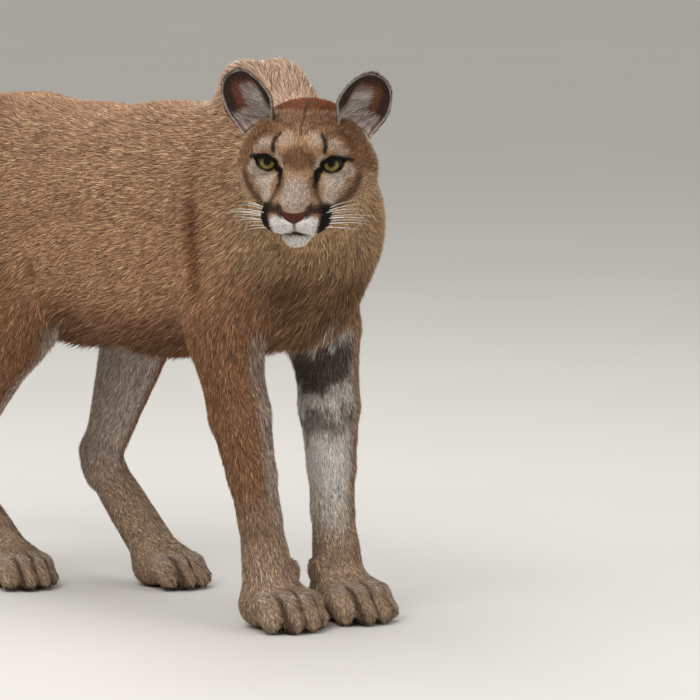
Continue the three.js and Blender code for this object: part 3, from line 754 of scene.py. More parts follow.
# Ears: a leaf rolled into a cup. s runs from its root to its tip and t across it, -1 at the outer edge.
EAR = dict(root=(-66, 53, 14), lean=(0.08, 0.36, 0.93), open=(0.93, 0.36, 0), height=78, half=36.5)
EAR_ROWS = 44
EAR_COLUMNS = 30
EAR_TOP = 0.992
EAR_EDGE = 0.94
EAR_WALL_AT_ROOT = 6.5
EAR_WALL_AT_TIP = 4
EAR_BACK_COAT = 2.2
EAR_INNER_COAT = 1.0


def ear_point(s, t, depth):
    """A point of the cup in its own axes, at a depth in from its outer face."""
    flare = mix(0.66, 1, smooth(s, 0, 0.5))
    width = EAR["half"] * flare * (1 - s**4) ** 0.45
    curl = np.radians(mix(115, 46, smooth(s, -0.1, 0.6)))
    radius = width / np.sin(np.minimum(curl, np.pi / 2))
    depth = np.minimum(depth, 0.45 * width)
    across = (radius - depth) * np.sin(t * curl)
    out = radius - (radius - depth) * np.cos(t * curl) - 0.6 * EAR["half"] * (1 - 0.5 * s)
    return np.stack([across, out, s * EAR["height"] - depth * s], -1)


def ear_place(points, side):
    up = unit(vec(*EAR["lean"]))
    front = vec(*EAR["open"])
    front = unit(front - up * float(front @ up))
    axes = np.stack([np.cross(front, up), front, up])
    q = vec(*EAR["root"]) + points.astype(np.float32) @ axes
    q[..., 1] *= side
    return HEAD.world(q)


@functools.cache
def ear_surface(side):
    """Points, triangles and (s, t, back) of an ear's skin, a closed cup."""
    s = EAR_TOP * np.sin(np.pi / 2 * np.linspace(0, 1, EAR_ROWS))
    t = np.linspace(-EAR_EDGE, EAR_EDGE, EAR_COLUMNS)
    ring_t = np.concatenate([t, t[::-1]])
    is_back = np.concatenate([np.ones(EAR_COLUMNS), np.zeros(EAR_COLUMNS)])
    grid_s, grid_t = np.meshgrid(s, ring_t, indexing="ij")
    wall = mix(EAR_WALL_AT_ROOT, EAR_WALL_AT_TIP, grid_s) - EAR_INNER_COAT
    depth = np.where(is_back[None, :] > 0, EAR_BACK_COAT, wall)
    points = ear_place(ear_point(grid_s, grid_t, depth).reshape(-1, 3), side)
    n = 2 * EAR_COLUMNS
    triangles = [between_rings(EAR_ROWS, n)]
    for base, flip in ((0, True), ((EAR_ROWS - 1) * n, False)):
        for k in range(EAR_COLUMNS - 1):
            quad = [base + k, base + k + 1, base + n - 2 - k, base + n - 1 - k]
            quad = quad[::-1] if flip else quad
            triangles.append(np.array([[quad[0], quad[1], quad[2]], [quad[0], quad[2], quad[3]]]))
    triangles = np.concatenate(triangles)
    if side < 0:
        triangles = triangles[:, ::-1]
    where = np.stack([grid_s.ravel(), grid_t.ravel(), np.tile(is_back, EAR_ROWS)], 1).astype(np.float32)
    return points, triangles, where


# Colours. linear turns one from the 0 to 1 values of a screen to the renderer's.
def linear(colour):
    c = np.asarray(colour, np.float32)
    return np.where(c <= 0.04045, c / 12.92, ((c + 0.055) / 1.055) ** 2.4).astype(np.float32)


def colour_property(name, description, red, green, blue):
    return FloatVectorProperty(
        name=name,
        description=description,
        subtype="COLOR_GAMMA",
        size=3,
        min=0,
        max=1,
        default=(red / 255, green / 255, blue / 255),
    )


def number_property(name, description, default, **limits):
    return FloatProperty(name=name, description=description, default=default, **limits)


class CougarColours(bpy.types.PropertyGroup):
    back: colour_property("Back", "Warm tawny brown along the back and the shoulders", 172, 134, 104)
    flank: colour_property("Flank", "Browner side of the trunk and the thighs", 184, 140, 106)
    # Belly: brown of the belly fringe, darkened with painted shade under the trunk
    belly: colour_property("Belly", "Darker brown fringe under the trunk", 118, 84, 58)
    hump: colour_property("Hump", "Pinkish tan over the shoulder blades", 190, 156, 132)
    neck: colour_property("Neck", "Grizzled tan of the throat and the breast", 174, 140, 106)
    breast: colour_property("Breast", "Duskier brown between the forelegs", 128, 98, 70)
    leg: colour_property("Leg", "Brown outer side of the legs", 146, 106, 77)
    # Breast: darker brown between the forelegs, painted shade
    foot: colour_property("Foot", "Greyish tan of the feet", 172, 145, 120)
    pale: colour_property("Pale", "Pale patches round the eyes", 206, 186, 168)
    cream: colour_property("Cream", "Inner side of the left foreleg", 255, 244, 232)
    white: colour_property("White", "Whisker pads and chin", 250, 245, 238)
    forehead: colour_property("Forehead", "Grizzled brown of the forehead", 130, 95, 66)
    # Rust: the reddish colour of the crown and of the fold behind the shoulder, darkened with painted shade
    shaded_rust: colour_property("Rust", "Reddish crown and the fold behind the shoulder", 104, 54, 22)
    cheek: colour_property("Cheek", "Greyish tan of the cheeks", 166, 130, 98)
    bridge: colour_property("Bridge", "Pale pinkish grey of the bridge of the nose", 172, 154, 140)
    # Bar: dark brown of the foreleg bars and of marks on the face and ears, also used as painted shade along
    # the folds, on the breast and between the toes
    bar_and_shade: colour_property("Bar", "Dark brown bars of the forelegs", 60, 42, 30)
    black: colour_property("Black", "Brown-black of the muzzle patches, eye rims and tail tip", 26, 20, 17)
    skin: colour_property("Ear skin", "Reddish-brown skin inside the ears", 122, 78, 60)
    ear_hair: colour_property("Ear hair", "Whitish hairs inside the ears", 240, 228, 218)
    ear_edge: colour_property("Ear edge", "Dark grey band inside the edge of each ear", 62, 51, 43)


def palette():
    colours = bpy.context.scene.cougar_colours
    return {name: linear(getattr(colours, name)) for name in CougarColours.__annotations__}


def spot(q, centre, radii, soft=0.35):
    """1 in an egg-shaped patch, fading out at its edge."""
    k = size_of((q - vec(*centre)) / vec(*radii))
    return smooth(k, 1 + soft, 1 - soft)


def stroke(q, a, b, half, soft=1.2):
    """1 along a line from a to b, fading out past its half-width."""
    return smooth(segment_distance(q, a, b), half + soft, half)


def waves(p, length, seed):
    """Soft irregular waves between -1 and 1, about so many millimetres long."""
    rng = np.random.default_rng(seed)
    total = np.zeros(len(p), np.float32)
    for _ in range(7):
        direction = unit(rng.normal(size=3)) * (2 * np.pi / (length * rng.uniform(0.7, 1.5)))
        total += np.sin(p @ direction + rng.uniform(0, 2 * np.pi)).astype(np.float32)
    return np.clip(total / 3.2, -1, 1)


def toe_cleft_shade(p):
    """1 in the clefts between the toes of each foot, where shade is painted."""
    total = np.zeros(len(p), np.float32)
    for leg in LEGS.values():
        ahead, beside, _ = (foot_frame(leg).local(p) / leg["size"]).T
        cleft = np.min([np.abs(beside - at) for at in (-23, 0, 23)], axis=0)
        total = np.maximum(total, smooth(cleft, 4, 1.2) * smooth(ahead, 16, 32) * smooth(ahead, 75, 65))
    return total


def knuckle_highlight(p):
    """1 on the knuckles of each foot, where a highlight is painted."""
    total = np.zeros(len(p), np.float32)
    for leg in LEGS.values():
        place = foot_frame(leg)
        for side, reach, _ in TOES:
            knuckle = place.world(vec(reach - 22, side, 46) * leg["size"])
            total = np.maximum(total, smooth(size_of(p - knuckle), 17, 6))
    return total


def body_markings(p, n, shares, c):
    z = p[:, 2]
    # Painted shade under the trunk: darker brown below the flank, down to the belly
    colour = mix(c["belly"], c["flank"], column(smooth(z, 320, 400)))
    colour = mix(colour, c["back"], column(smooth(z, 430, 590)))
    hump = smooth(size_of((p - vec(0, 30, 650)) / vec(70, 130, 60)), 1.3, 0.6)
    colour = mix(colour, c["hump"], column(hump))
    front = smooth(p[:, 1], 60, -70) * smooth(z, 600, 500)
    colour = mix(colour, c["neck"], column(np.clip(front + shares["neck"] * smooth(z, 610, 540), 0, 1)))
    # Painted shade between the forelegs: the breast's darker brown
    colour = mix(colour, c["breast"], column(smooth(p[:, 1], 40, -50) * smooth(z, 470, 400)))
    upper, lower = share(shares, "upper"), share(shares, "lower")
    colour = mix(colour, c["leg"], column(np.clip(lower + upper * smooth(z, 460, 340), 0, 1)))
    # Painted shade on the hind thighs: darkened towards the legs' brown
    colour = mix(colour, c["leg"], column(upper * smooth(p[:, 1], 250, 350)))
    inner = smooth(-np.sign(p[:, 0]) * n[:, 0] - 0.35 * n[:, 1], -0.05, 0.55) * smooth(z, 400, 330)
    is_left = smooth(p[:, 0], -5, 5)
    paleness = np.where(p[:, 1] < 180, mix(0.3, 1.0, is_left), 0.4)
    left_foreleg = lower * is_left * smooth(p[:, 1], 150, 90)
    colour = mix(colour, c["foot"], column(left_foreleg * 0.8))
    colour = mix(colour, c["cream"], column(inner * paleness * smooth(z, 60, 130) * (1 - shares["tail"])))
    colour = mix(colour, c["foot"], column(share(shares, "foot")))
    # Dark bars inside the left foreleg, and a trace of them on the right one
    fore = smooth(p[:, 1], 150, 90) * mix(0.35, 1.0, is_left)
    wavy = z + 12 * waves(p, 34, 3) + 8 * waves(p, 8, 4)
    for height, half, most in ((304, 22, 0.92), (238, 5, 0.75)):
        band = smooth(np.abs(wavy - height), half + 20, half) * smooth(inner, 0.1, 0.7)
        colour = mix(colour, c["bar_and_shade"], column(band * fore * most))
    # Painted shade: dark lines down the folds behind the right shoulder and before the haunch, and dusky
    # patches on the breast. The reddish band along the fold behind the shoulder is partly the coat's own
    # colour and partly painted shade.
    for a, b, half, name, most in (
        ((-112, 50, 500), (-116, 42, 405), 5, "shaded_rust", 0.85),
        ((-112, 50, 500), (-116, 42, 405), 1, "bar_and_shade", 0.55),
        ((-90, 60, 608), (-112, 50, 500), 1, "bar_and_shade", 0.5),
        ((-108, 84, 565), (-117, 78, 430), 0, "bar_and_shade", 0.4),
        ((-92, 330, 500), (-106, 350, 400), 0, "bar_and_shade", 0.4),
        ((-70, -80, 400), (-62, -70, 350), 16, "bar_and_shade", 0.4),
        ((0, -110, 420), (10, -80, 370), 12, "bar_and_shade", 0.25),
    ):
        colour = mix(colour, c[name], column(stroke(p, a, b, half, 18) * most))
    tip = shares["tail"] * smooth(p[:, 1] + 0.3 * (140 - z), 930, 975)
    colour = mix(colour, c["black"], column(tip * smooth(z, 300, 220)))
    on_foot = share(shares, "foot")
    # Painted highlight on the knuckles and painted shade in the clefts between the toes
    colour = mix(colour, c["pale"], column(on_foot * knuckle_highlight(p) * 0.5))
    colour = mix(colour, c["bar_and_shade"], column(on_foot * toe_cleft_shade(p) * 0.8))
    return mix(colour, c["black"], column(on_foot * smooth(z, 9, 3)))


# Marks of the face. Each is placed on the picture plane of the camera, as millimetres to the right of the
# point between the eyes and above it, where the left half of the face lies. The right half has the same.
FACE_PATCHES = (
    ("forehead", (-2, 4), (15, 14), 1.0),
    ("bar_and_shade", (-2, 4), (14, 15), 0.32),
    ("bridge", (-7, -37), (17, 21), 1.0),
    ("shaded_rust", (10, 44), (20, 11), 0.25),
    ("pale", (16, 26), (8, 10), 0.38),
    ("pale", (38, 20), (9, 6), 0.5),
    ("pale", (48, 12), (8, 4), 0.45),
    ("pale", (38, -20), (13, 11), 0.95),
    ("pale", (34, -36), (8, 11), 0.8),
    ("pale", (52, -8), (9, 8), 0.7),
    ("bar_and_shade", (13, 2), (4, 9), 0.5),
    ("bar_and_shade", (14, -26), (5, 12), 0.5),
)
MUZZLE_PATCHES = (
    ("bar_and_shade", (21, -52), (11, 6), 0.75),
    ("white", (8, -72), (14, 10), 1.0),
    ("white", (-2, -91), (17, 11), 0.75),
)
FACE_LINES = (
    ("pale", ((24, 8), (19, 2), (16, -9)), 0.8, 1.6, 0.8),
    ("black", ((24, 31), (27, 25)), 1.5, 1.4, 0.9),
    ("black", ((27, 25), (29, 19), (27.5, 12)), 1.8, 1.4, 0.95),
    ("black", ((24, -1), (35, 6), (45, 5.5)), 2.0, 1.2, 1.0),
    ("black", ((45, 5.5), (58, 3.5)), 1.6, 1.5, 0.95),
    ("black", ((24, -7), (18.5, -11), (18, -19)), 3.0, 1.6, 1.0),
    ("black", ((18, -19), (17, -27)), 2.4, 2.0, 0.9),
    ("bar_and_shade", ((6, 33), (16, 42), (34, 47)), 0.8, 2.6, 0.4),
    ("bar_and_shade", ((12, 52), (30, 54), (44, 48)), 0.8, 2.6, 0.35),
    ("bar_and_shade", ((31, 33), (46, 34), (60, 24)), 1.0, 4.0, 0.35),
    ("bar_and_shade", ((17, -27), (20, -40), (24, -50)), 1.4, 3.0, 0.75),
    ("bar_and_shade", ((66, -14), (62, -25), (54, -36), (42, -46)), 1.8, 5.0, 0.75),
)
MUZZLE_LINES = (
    ("black", ((31, -54), (30, -64)), 6.0, 5.5, 0.97),
    ("black", ((28, -66), (24, -78)), 5.0, 3.5, 1.0),
    ("black", ((27, -54), (15, -55)), 2.0, 4.5, 0.7),
)


def toward_camera():
    """The way from the cat to the camera."""
    azimuth, elevation = math.radians(CAMERA_AZIMUTH), math.radians(CAMERA_ELEVATION)
    level = math.cos(elevation)
    return math.sin(azimuth) * level, -math.cos(azimuth) * level, math.sin(elevation)


def picture_axes():
    """Right and up on the camera's picture plane, in the head's own frame."""
    toward = vec(*toward_camera())
    right = unit(np.cross(vec(0, 0, 1), toward))
    return np.stack([right, np.cross(toward, right)]) @ HEAD.axes.T


def line_weight(flat, points, half, soft):
    return highest(*(stroke(flat, a, b, half, soft) for a, b in zip(points, points[1:])))


def face_markings(p, c):
    """The head's colours, from patches and lines placed on the picture plane."""
    q = folded(HEAD.local(p))
    forward, beside, height = q.T
    flat = q @ picture_axes().T
    x, y = flat.T
    colour = mix(c["cheek"], c["forehead"], column(smooth(y + 0.9 * (x - 31), 14, 26)))
    colour = mix(colour, c["neck"], column(smooth(forward, -50, -90)))
    mask_edge = np.maximum((x - 64) / 6, (x - 40 - 0.75 * (y + 48)) / 8)
    colour = mix(colour, c["neck"], column(smooth(mask_edge, 0, 1) * smooth(y, -2, -16)))
    # Reddish crown, partly its own colour and partly painted shade
    colour = mix(colour, c["shaded_rust"], column(smooth(y, 57, 62) * smooth(forward, -125, -105)))
    on_muzzle = smooth(forward, 12, 26)
    on_face = smooth(forward, -64, -54)
    marks = (FACE_PATCHES, FACE_LINES, on_face), (MUZZLE_PATCHES, MUZZLE_LINES, on_muzzle)
    for patches, lines, where in marks:
        for name, centre, radii, most in patches:
            colour = mix(colour, c[name], column(spot(flat, centre, radii) * most * where))
        for name, points, half, soft, most in lines:
            colour = mix(colour, c[name], column(line_weight(flat, points, half, soft) * most * where))
    stripe = smooth(beside, 1.8, 0.5) * smooth(y, 22, 34) * smooth(forward, -80, -70) * 0.85
    rims = smooth(opening(q), 3.6, 1.8)
    before_corner = smooth(beside, MOUTH_CORNER, MOUTH_CORNER - 6) * on_muzzle
    lips = smooth(np.abs(height - mouth_height(q)), 2.2, 0.8) * before_corner
    philtrum = smooth(beside, 1.7, 0.6) * smooth(np.abs(height + PHILTRUM), 10, 8) * smooth(forward, 44, 50)
    around_nose = smooth(leather(q), 2.4, 0.8) * smooth(beside, 10, 15) * 0.8
    return mix(colour, c["black"], column(highest(stripe, rims, lips, philtrum, around_nose)))


def markings(p, n, shares):
    c = palette()
    colour = body_markings(p, n, shares, c)
    on_head = np.maximum(smooth(shares["head"], 0.3, 0.7), crown_of(p))
    return mix(colour, face_markings(p, c), column(on_head))


def ear_hair(s, t):
    """Where long white hairs grow inside an ear: down its middle, inside the dark band, and at its root."""
    down_middle = smooth(t, -0.4, 0) * smooth(t, 0.52, 0.38) * smooth(s, 0.8, 0.55)
    return np.maximum(down_middle, smooth(s, 0.36, 0.2) * smooth(np.abs(t), 0.9, 0.75))


def ear_markings(where, c):
    s, t, back = where.T
    outside = mix(c["forehead"], c["bar_and_shade"], column(smooth(s, 0.2, 0.5) * 0.5))
    streaks = 0.62 + 0.38 * np.sin(31 * t + 2 * np.sin(9 * s)) * np.sin(13 * t + 4 * s + 1)
    inside = mix(c["skin"], c["ear_hair"], column(ear_hair(s, t) * streaks))
    edge = np.maximum(smooth(t, 0.38, 0.54), smooth(-t, 0.46, 0.66)) * smooth(s, 0.16, 0.4)
    edge = edge + smooth(s, 0.74, 0.86)
    inside = mix(inside, c["ear_edge"], column(np.clip(edge, 0, 1) * 0.95))
    rim = np.clip(smooth(np.abs(t), 0.88, 0.93) + smooth(s, 0.97, 0.985), 0, 1)
    colour = mix(inside, outside, column(back))
    return mix(colour, c["ear_hair"], column(rim * mix(0.5, 0.25, back)))


# Meshes from arrays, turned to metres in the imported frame
@functools.cache
def frame_shift():
    """From the cat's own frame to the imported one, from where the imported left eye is, in millimetres."""
    low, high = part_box("eye_left")
    return np.array((low + high) / 2) / MM - HEAD.world(EYE)


def to_frame(p):
    return ((p + frame_shift()) * MM).astype(np.float32)


def new_mesh(name, points, triangles):
    mesh = bpy.data.meshes.new(name)
    mesh.vertices.add(len(points))
    mesh.vertices.foreach_set("co", to_frame(points).ravel())
    mesh.loops.add(triangles.size)
    mesh.loops.foreach_set("vertex_index", triangles.astype(np.int32).ravel())
    mesh.polygons.add(len(triangles))
    mesh.polygons.foreach_set("loop_start", np.arange(0, triangles.size, 3, dtype=np.int32))
    mesh.update(calc_edges=True)
    mesh.shade_smooth()
    return mesh


def paint(mesh, colours):
    rgba = np.concatenate([colours, np.ones((len(colours), 1))], 1).astype(np.float32)
    layer = mesh.color_attributes.new("coat_colour", "FLOAT_COLOR", "POINT")
    layer.data.foreach_set("color", rgba.ravel())


def give(mesh, name, kind, field, values):
    mesh.attributes.new(name, kind, "POINT").data.foreach_set(field, np.asarray(values, np.float32).ravel())


def add_piece(mesh, material, stands_for=()):
    piece = bpy.data.objects.new(mesh.name, mesh)
    bpy.context.scene.collection.objects.link(piece)
    if material is not None:
        mesh.materials.append(material)
    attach(piece, "root")
    if stands_for:
        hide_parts(*stands_for)


# Materials
def add_node(tree, kind, inputs=None, **settings):
    """A new node. Each of the inputs given is a value, or a socket to link from."""
    node = tree.nodes.new(kind)
    for key, value in settings.items():
        setattr(node, key, value)
    for key, value in (inputs or {}).items():
        if isinstance(value, bpy.types.NodeSocket):
            tree.links.new(value, node.inputs[key])
        else:
            node.inputs[key].default_value = value
    return node


def add_group(name, kind, inputs, outputs):
    """A new node group with its sockets. Gives also the sockets at its start and at its end."""
    tree = bpy.data.node_groups.new(name, kind)
    for key, socket_kind, value in inputs:
        socket = tree.interface.new_socket(key, in_out="INPUT", socket_type=socket_kind)
        if value is not None:
            socket.default_value = value
    for key, socket_kind in outputs:
        tree.interface.new_socket(key, in_out="OUTPUT", socket_type=socket_kind)
    return tree, tree.nodes.new("NodeGroupInput").outputs, tree.nodes.new("NodeGroupOutput").inputs


def ticking_group():
    """Grizzles a colour with fine lighter and darker flecks, and gives a height for fine hair."""
    name = "Ticked hair"
    if name in bpy.data.node_groups:
        return bpy.data.node_groups[name]
    inputs = (
        ("Colour", "NodeSocketColor", (0.4, 0.3, 0.2, 1)),
        ("Fleck size", "NodeSocketFloat", 0.002),
        ("Contrast", "NodeSocketFloat", 0.3),
    )
    outputs = (("Colour", "NodeSocketColor"), ("Height", "NodeSocketFloat"))
    tree, given, result = add_group(name, "ShaderNodeTree", inputs, outputs)
    place = add_node(tree, "ShaderNodeTexCoord").outputs["Object"]
    scale = add_node(tree, "ShaderNodeMath", {0: 1, 1: given["Fleck size"]}, operation="DIVIDE")
    noise_inputs = {"Vector": place, "Scale": scale.outputs[0], "Detail": 3}
    flecks = add_node(tree, "ShaderNodeTexNoise", noise_inputs).outputs["Fac"]
    centred = add_node(tree, "ShaderNodeMath", {0: flecks, 1: 0.5}, operation="SUBTRACT")
    strength_inputs = {0: centred.outputs[0], 1: given["Contrast"], 2: 1}
    strength = add_node(tree, "ShaderNodeMath", strength_inputs, operation="MULTIPLY_ADD")
    shade_inputs = {0: given["Colour"], "Scale": strength.outputs[0]}
    shade = add_node(tree, "ShaderNodeVectorMath", shade_inputs, operation="SCALE")
    tree.links.new(shade.outputs[0], result["Colour"])
    tree.links.new(flecks, result["Height"])
    return tree


class Shader:
    """A new material with its nodes, and short ways to add to them."""

    def __init__(self, name, **look):
        self.material = bpy.data.materials.new(name)
        self.material.use_nodes = True
        self.tree = self.material.node_tree
        self.principled = self.tree.nodes["Principled BSDF"]
        for socket, value in look.items():
            self.principled.inputs[socket.replace("_", " ")].default_value = value

    def node(self, kind, inputs=None, **settings):
        return add_node(self.tree, kind, inputs, **settings)

    def colour_from(self, socket):
        self.tree.links.new(socket, self.principled.inputs["Base Color"])

    def tick(self, fleck, contrast, colour=None):
        """Flecks over a fixed colour, or over the painted one. Gives their height."""
        if colour is None:
            colour = self.node("ShaderNodeAttribute", attribute_name="coat_colour").outputs["Color"]
        inputs = {"Colour": colour, "Fleck size": fleck, "Contrast": contrast}
        ticked = self.node("ShaderNodeGroup", inputs, node_tree=ticking_group())
        self.colour_from(ticked.outputs["Colour"])
        return ticked.outputs["Height"]

    def relief(self, height, strength, distance, invert=False):
        inputs = {"Height": height, "Strength": strength, "Distance": distance}
        bump = self.node("ShaderNodeBump", inputs, invert=invert)
        self.tree.links.new(bump.outputs["Normal"], self.principled.inputs["Normal"])


HAIR_RELIEF_DEPTH = 0.001


def hair_material(name, fleck, contrast, roughness, bump):
    """Paint from the coat_colour attribute with fine ticking over it."""
    shader = Shader(name, Roughness=roughness, Specular_IOR_Level=0.1)
    height = shader.tick(fleck, contrast)
    if bump:
        shader.relief(height, bump, HAIR_RELIEF_DEPTH)
    return shader.material


# Coat
class CougarCoat(bpy.types.PropertyGroup):
    cover: number_property(
        "Cover", "How many tufts there are, as a share of the usual number", 1.0, min=0.1, max=3
    )
    root_shade: number_property(
        "Root shade",
        "Brightness of a tuft at its root, as a share of its colour",
        0.5,
        min=0,
        max=1,
        subtype="FACTOR",
    )
    tip_shade: number_property(
        "Tip shade", "Brightness of a tuft at its tip, as a share of its colour", 1.2, min=0.5, max=2
    )
    variation: number_property(
        "Variation", "How much tufts side by side differ in brightness", 0.46, min=0, max=0.8
    )
    dark_tips: number_property(
        "Dark tips", "Share of the tufts that end in a dark tip", 0.24, min=0, max=1, subtype="FACTOR"
    )
    seed: IntProperty(name="Seed", description="Seed of the coat's random numbers", default=7, min=0)


class Ground:
    """Skin that hair grows from: a mesh with the hair's lie, size and colour at its points."""

    def __init__(self, points, triangles, lie, coat, colour):
        self.points = points
        self.triangles = triangles
        self.normals = normals_of(points, triangles)
        self.lie = lie
        self.coat = coat
        self.colour = colour
        self.contrast = 1.0

    def part(self, rows):
        """The ground under some of the triangles."""
        part = object.__new__(Ground)
        part.__dict__.update(self.__dict__)
        part.triangles = self.triangles[rows]
        return part


# A tuft is a thin spike of four triangles: three points at its root and one at its tip
SPIKE_FACES = np.array([(0, 2, 1), (0, 1, 3), (1, 2, 3), (2, 0, 3)])
SPIKE_THICK = 0.4
SPIKE_SUNK = 0.5
SPIKE_BEND = 0.35
UNDERCOAT_SHADE = 0.75
DARK_TIP_SHADE = 0.5
LEAST_HEIGHT = 0.4
# Locks: how many degrees neighbours lean off the lie together, and each of them alone, and a lock's size
LOCK_LEAN = 11
TUFT_LEAN = 7
LOCK_SIZE = 26
CHART = 0.313
CHART_EDGE = 0.01
PATCH = 0.003
PATCH_CORNERS = np.array([(-0.5, 0), (0.5, 0), (0, 0), (0, 1)], np.float32) * PATCH


def chart_places(points, normals):
    """Places on an unwrap of the skin: six charts, by the way the skin faces, side by side."""
    low, high = points.min(0), points.max(0)
    span = float((high - low).max())
    q = (points - low) / span
    axis = np.argmax(np.abs(normals), axis=1)
    facing = normals[np.arange(len(normals)), axis] > 0
    uv = np.empty((len(points), 2), np.float32)
    for k in range(3):
        others = [i for i in range(3) if i != k]
        for way in (False, True):
            rows = (axis == k) & (facing == way)
            corner = vec(k / 3, 0.5 if way else 0)
            uv[rows] = corner + CHART_EDGE + q[rows][:, others] * vec(CHART, CHART)
    return uv


def grow(ground, rng):
    """Scatters tufts over the ground. Gives their points, normals, colours and map places."""
    settings = bpy.context.scene.cougar_coat
    tri = ground.triangles
    a, b, c = (ground.points[tri[:, i]] for i in range(3))
    area = size_of(np.cross(b - a, c - a)) / 2
    coat = ground.coat[tri].mean(1)
    wanted = settings.cover * coat[:, 4] * area / (0.5 * coat[:, 1] * coat[:, 2])
    count = np.floor(wanted + rng.random(len(tri))).astype(int)
    owner = np.repeat(np.arange(len(tri)), count)
    r = rng.random((len(owner), 2)).astype(np.float32)
    fold_back = r.sum(1) > 1
    r[fold_back] = 1 - r[fold_back]
    weights = np.stack([1 - r.sum(1), r[:, 0], r[:, 1]], 1)

    def blended(values):
        return np.einsum("ij,ijk->ik", weights, values[tri[owner]])

    root = blended(ground.points)
    normal = unit(blended(ground.normals))
    lie = unit(blended(ground.lie))
    _, length, width, lift, _ = blended(ground.coat).T
    colour = blended(ground.colour)
    n = len(owner)

    swing = np.radians(LOCK_LEAN) * waves(root, LOCK_SIZE, 11) + np.radians(TUFT_LEAN) * rng.normal(size=n)
    along = unit(lie - column((lie * normal).sum(1)) * normal)
    beside = np.cross(normal, along)
    along = unit(along * column(np.cos(swing)) + beside * column(np.sin(swing)))
    lift = np.radians(lift) * (1 + 0.22 * rng.normal(size=n) + 0.2 * waves(root, 34, 12))
    lift = np.clip(lift, 0.05, 0.9)
    direction = unit(along * column(np.cos(lift)) + normal * column(np.sin(lift)))
    side = unit(np.cross(normal, direction))
    over = np.cross(direction, side)
    length = length * rng.uniform(0.72, 1.25, n)
    width = width * rng.uniform(0.75, 1.25, n)
    base = root - SPIKE_SUNK * normal
    points = np.stack(
        [
            base - side * column(width / 2),
            base + side * column(width / 2),
            base + over * column(width * SPIKE_THICK),
            root + direction * column(length),
        ],
        1,
    )
    points[..., 2] = np.maximum(points[..., 2], LEAST_HEIGHT)
    turned = [unit(normal - SPIKE_BEND * side), unit(normal + SPIKE_BEND * side)]
    normals = np.stack([*turned, normal, normal], 1)
    shade = np.exp(settings.variation * rng.normal(size=n)) * (1 + 0.07 * waves(root, 90, 13))
    tip = np.where(rng.random(n) < settings.dark_tips, DARK_TIP_SHADE, settings.tip_shade)
    shades = np.stack([np.full(n, settings.root_shade)] * 3 + [tip], 1) * shade[:, None]
    shades = mix(1, shades, ground.contrast)
    colours = np.clip(colour[:, None, :] * shades[:, :, None], 0, 1)
    uv = chart_places(root, normal)[:, None, :] + PATCH_CORNERS[None]
    return points, normals, colours, uv


def coat_piece(name, grounds, material):
    """One piece of coat, grown from one or more grounds."""
    settings = bpy.context.scene.cougar_coat
    rng = np.random.default_rng([settings.seed, *name.encode()])
    grown = [grow(ground, rng) for ground in grounds]
    points, normals, colours, uv = (np.concatenate(values) for values in zip(*grown))
    faces = (np.arange(len(points))[:, None, None] * 4 + SPIKE_FACES[None]).reshape(-1, 3)
    mesh = new_mesh(name, points.reshape(-1, 3), faces)
    paint(mesh, colours.reshape(-1, 3))
    give(mesh, "custom_normal", "FLOAT_VECTOR", "vector", normals.reshape(-1, 3))
    layer = mesh.uv_layers.new(name="OFBake")
    layer.uv.foreach_set("vector", uv.reshape(-1, 2)[faces.ravel()].astype(np.float32).ravel())
    add_piece(mesh, material)


@functools.cache
def body_ground():
    points, triangles = body_surface()
    parts = anatomy(points)
    shares = shares_of(parts)
    normals = normals_of(points, triangles)
    colour = markings(points, normals, shares)
    ground = Ground(points, triangles, lie_of(points, shares), coat_of(points, shares), colour)
    names = list(parts)
    nearest = np.argmin(np.stack([parts[name] for name in names]), axis=0)
    region = nearest[triangles[:, 0]]
    return ground, names, region


def bare_skin(ground):
    """Triangles that no hair grows from: between the lids, the nose leather, the lips and the soles."""
    middle = ground.points[ground.triangles].mean(1)
    q = folded(HEAD.local(middle))
    near = size_of(q) < 120
    bare = near & (opening(q) < 0.8)
    bare |= near & (leather(q) < 1.5)
    bare |= near & (q[:, 0] > 20) & (np.abs(q[:, 2] - mouth_height(q)) < 1.3) & (q[:, 1] < MOUTH_CORNER)
    return bare | (middle[:, 2] < 4)


# Where the breast's piece of coat ends along the trunk, and the flanks'
BREAST_END = 150
FLANK_END = 430


def coat_regions():
    """The triangles of each piece of coat, by its name."""
    ground, names, region = body_ground()
    middle = ground.points[ground.triangles].mean(1)
    q = HEAD.local(middle)
    kept = ~bare_skin(ground)
    label = np.array(names)[region]
    is_trunk = label == "trunk"
    on_breast = middle[:, 1] < BREAST_END
    on_rump = middle[:, 1] >= FLANK_END
    on_flank = is_trunk & ~on_breast & ~on_rump
    right = middle[:, 0] < 0
    regions = {
        "coat_face": (label == "head") & (q[:, 0] > -14),
        "coat_head": (label == "head") & (q[:, 0] <= -14),
        "coat_neck": label == "neck",
        "coat_breast": is_trunk & on_breast,
        "coat_flank_right": on_flank & right,
        "coat_flank_left": on_flank & ~right,
        "coat_rump": is_trunk & on_rump,
        "coat_tail": label == "tail",
    }
    for name in LEGS:
        regions["coat_" + name + "_leg"] = np.isin(label, [name + "_upper", name + "_lower"])
        regions["coat_" + name + "_foot"] = label == name + "_foot"
    return ground, {name: rows & kept for name, rows in regions.items()}


# Coat of the ears: the back, the long hair inside and the down, as in COAT
EAR_BACK = (0.8, 5.5, 1.0, 12, 2.6)
EAR_HAIR = (0.5, 15, 1.0, 20, 1.5)
EAR_DOWN = (0.5, 4.0, 0.8, 14, 1.4)
EAR_CONTRAST = 0.9
EAR_BARE_ROOT = 0.07


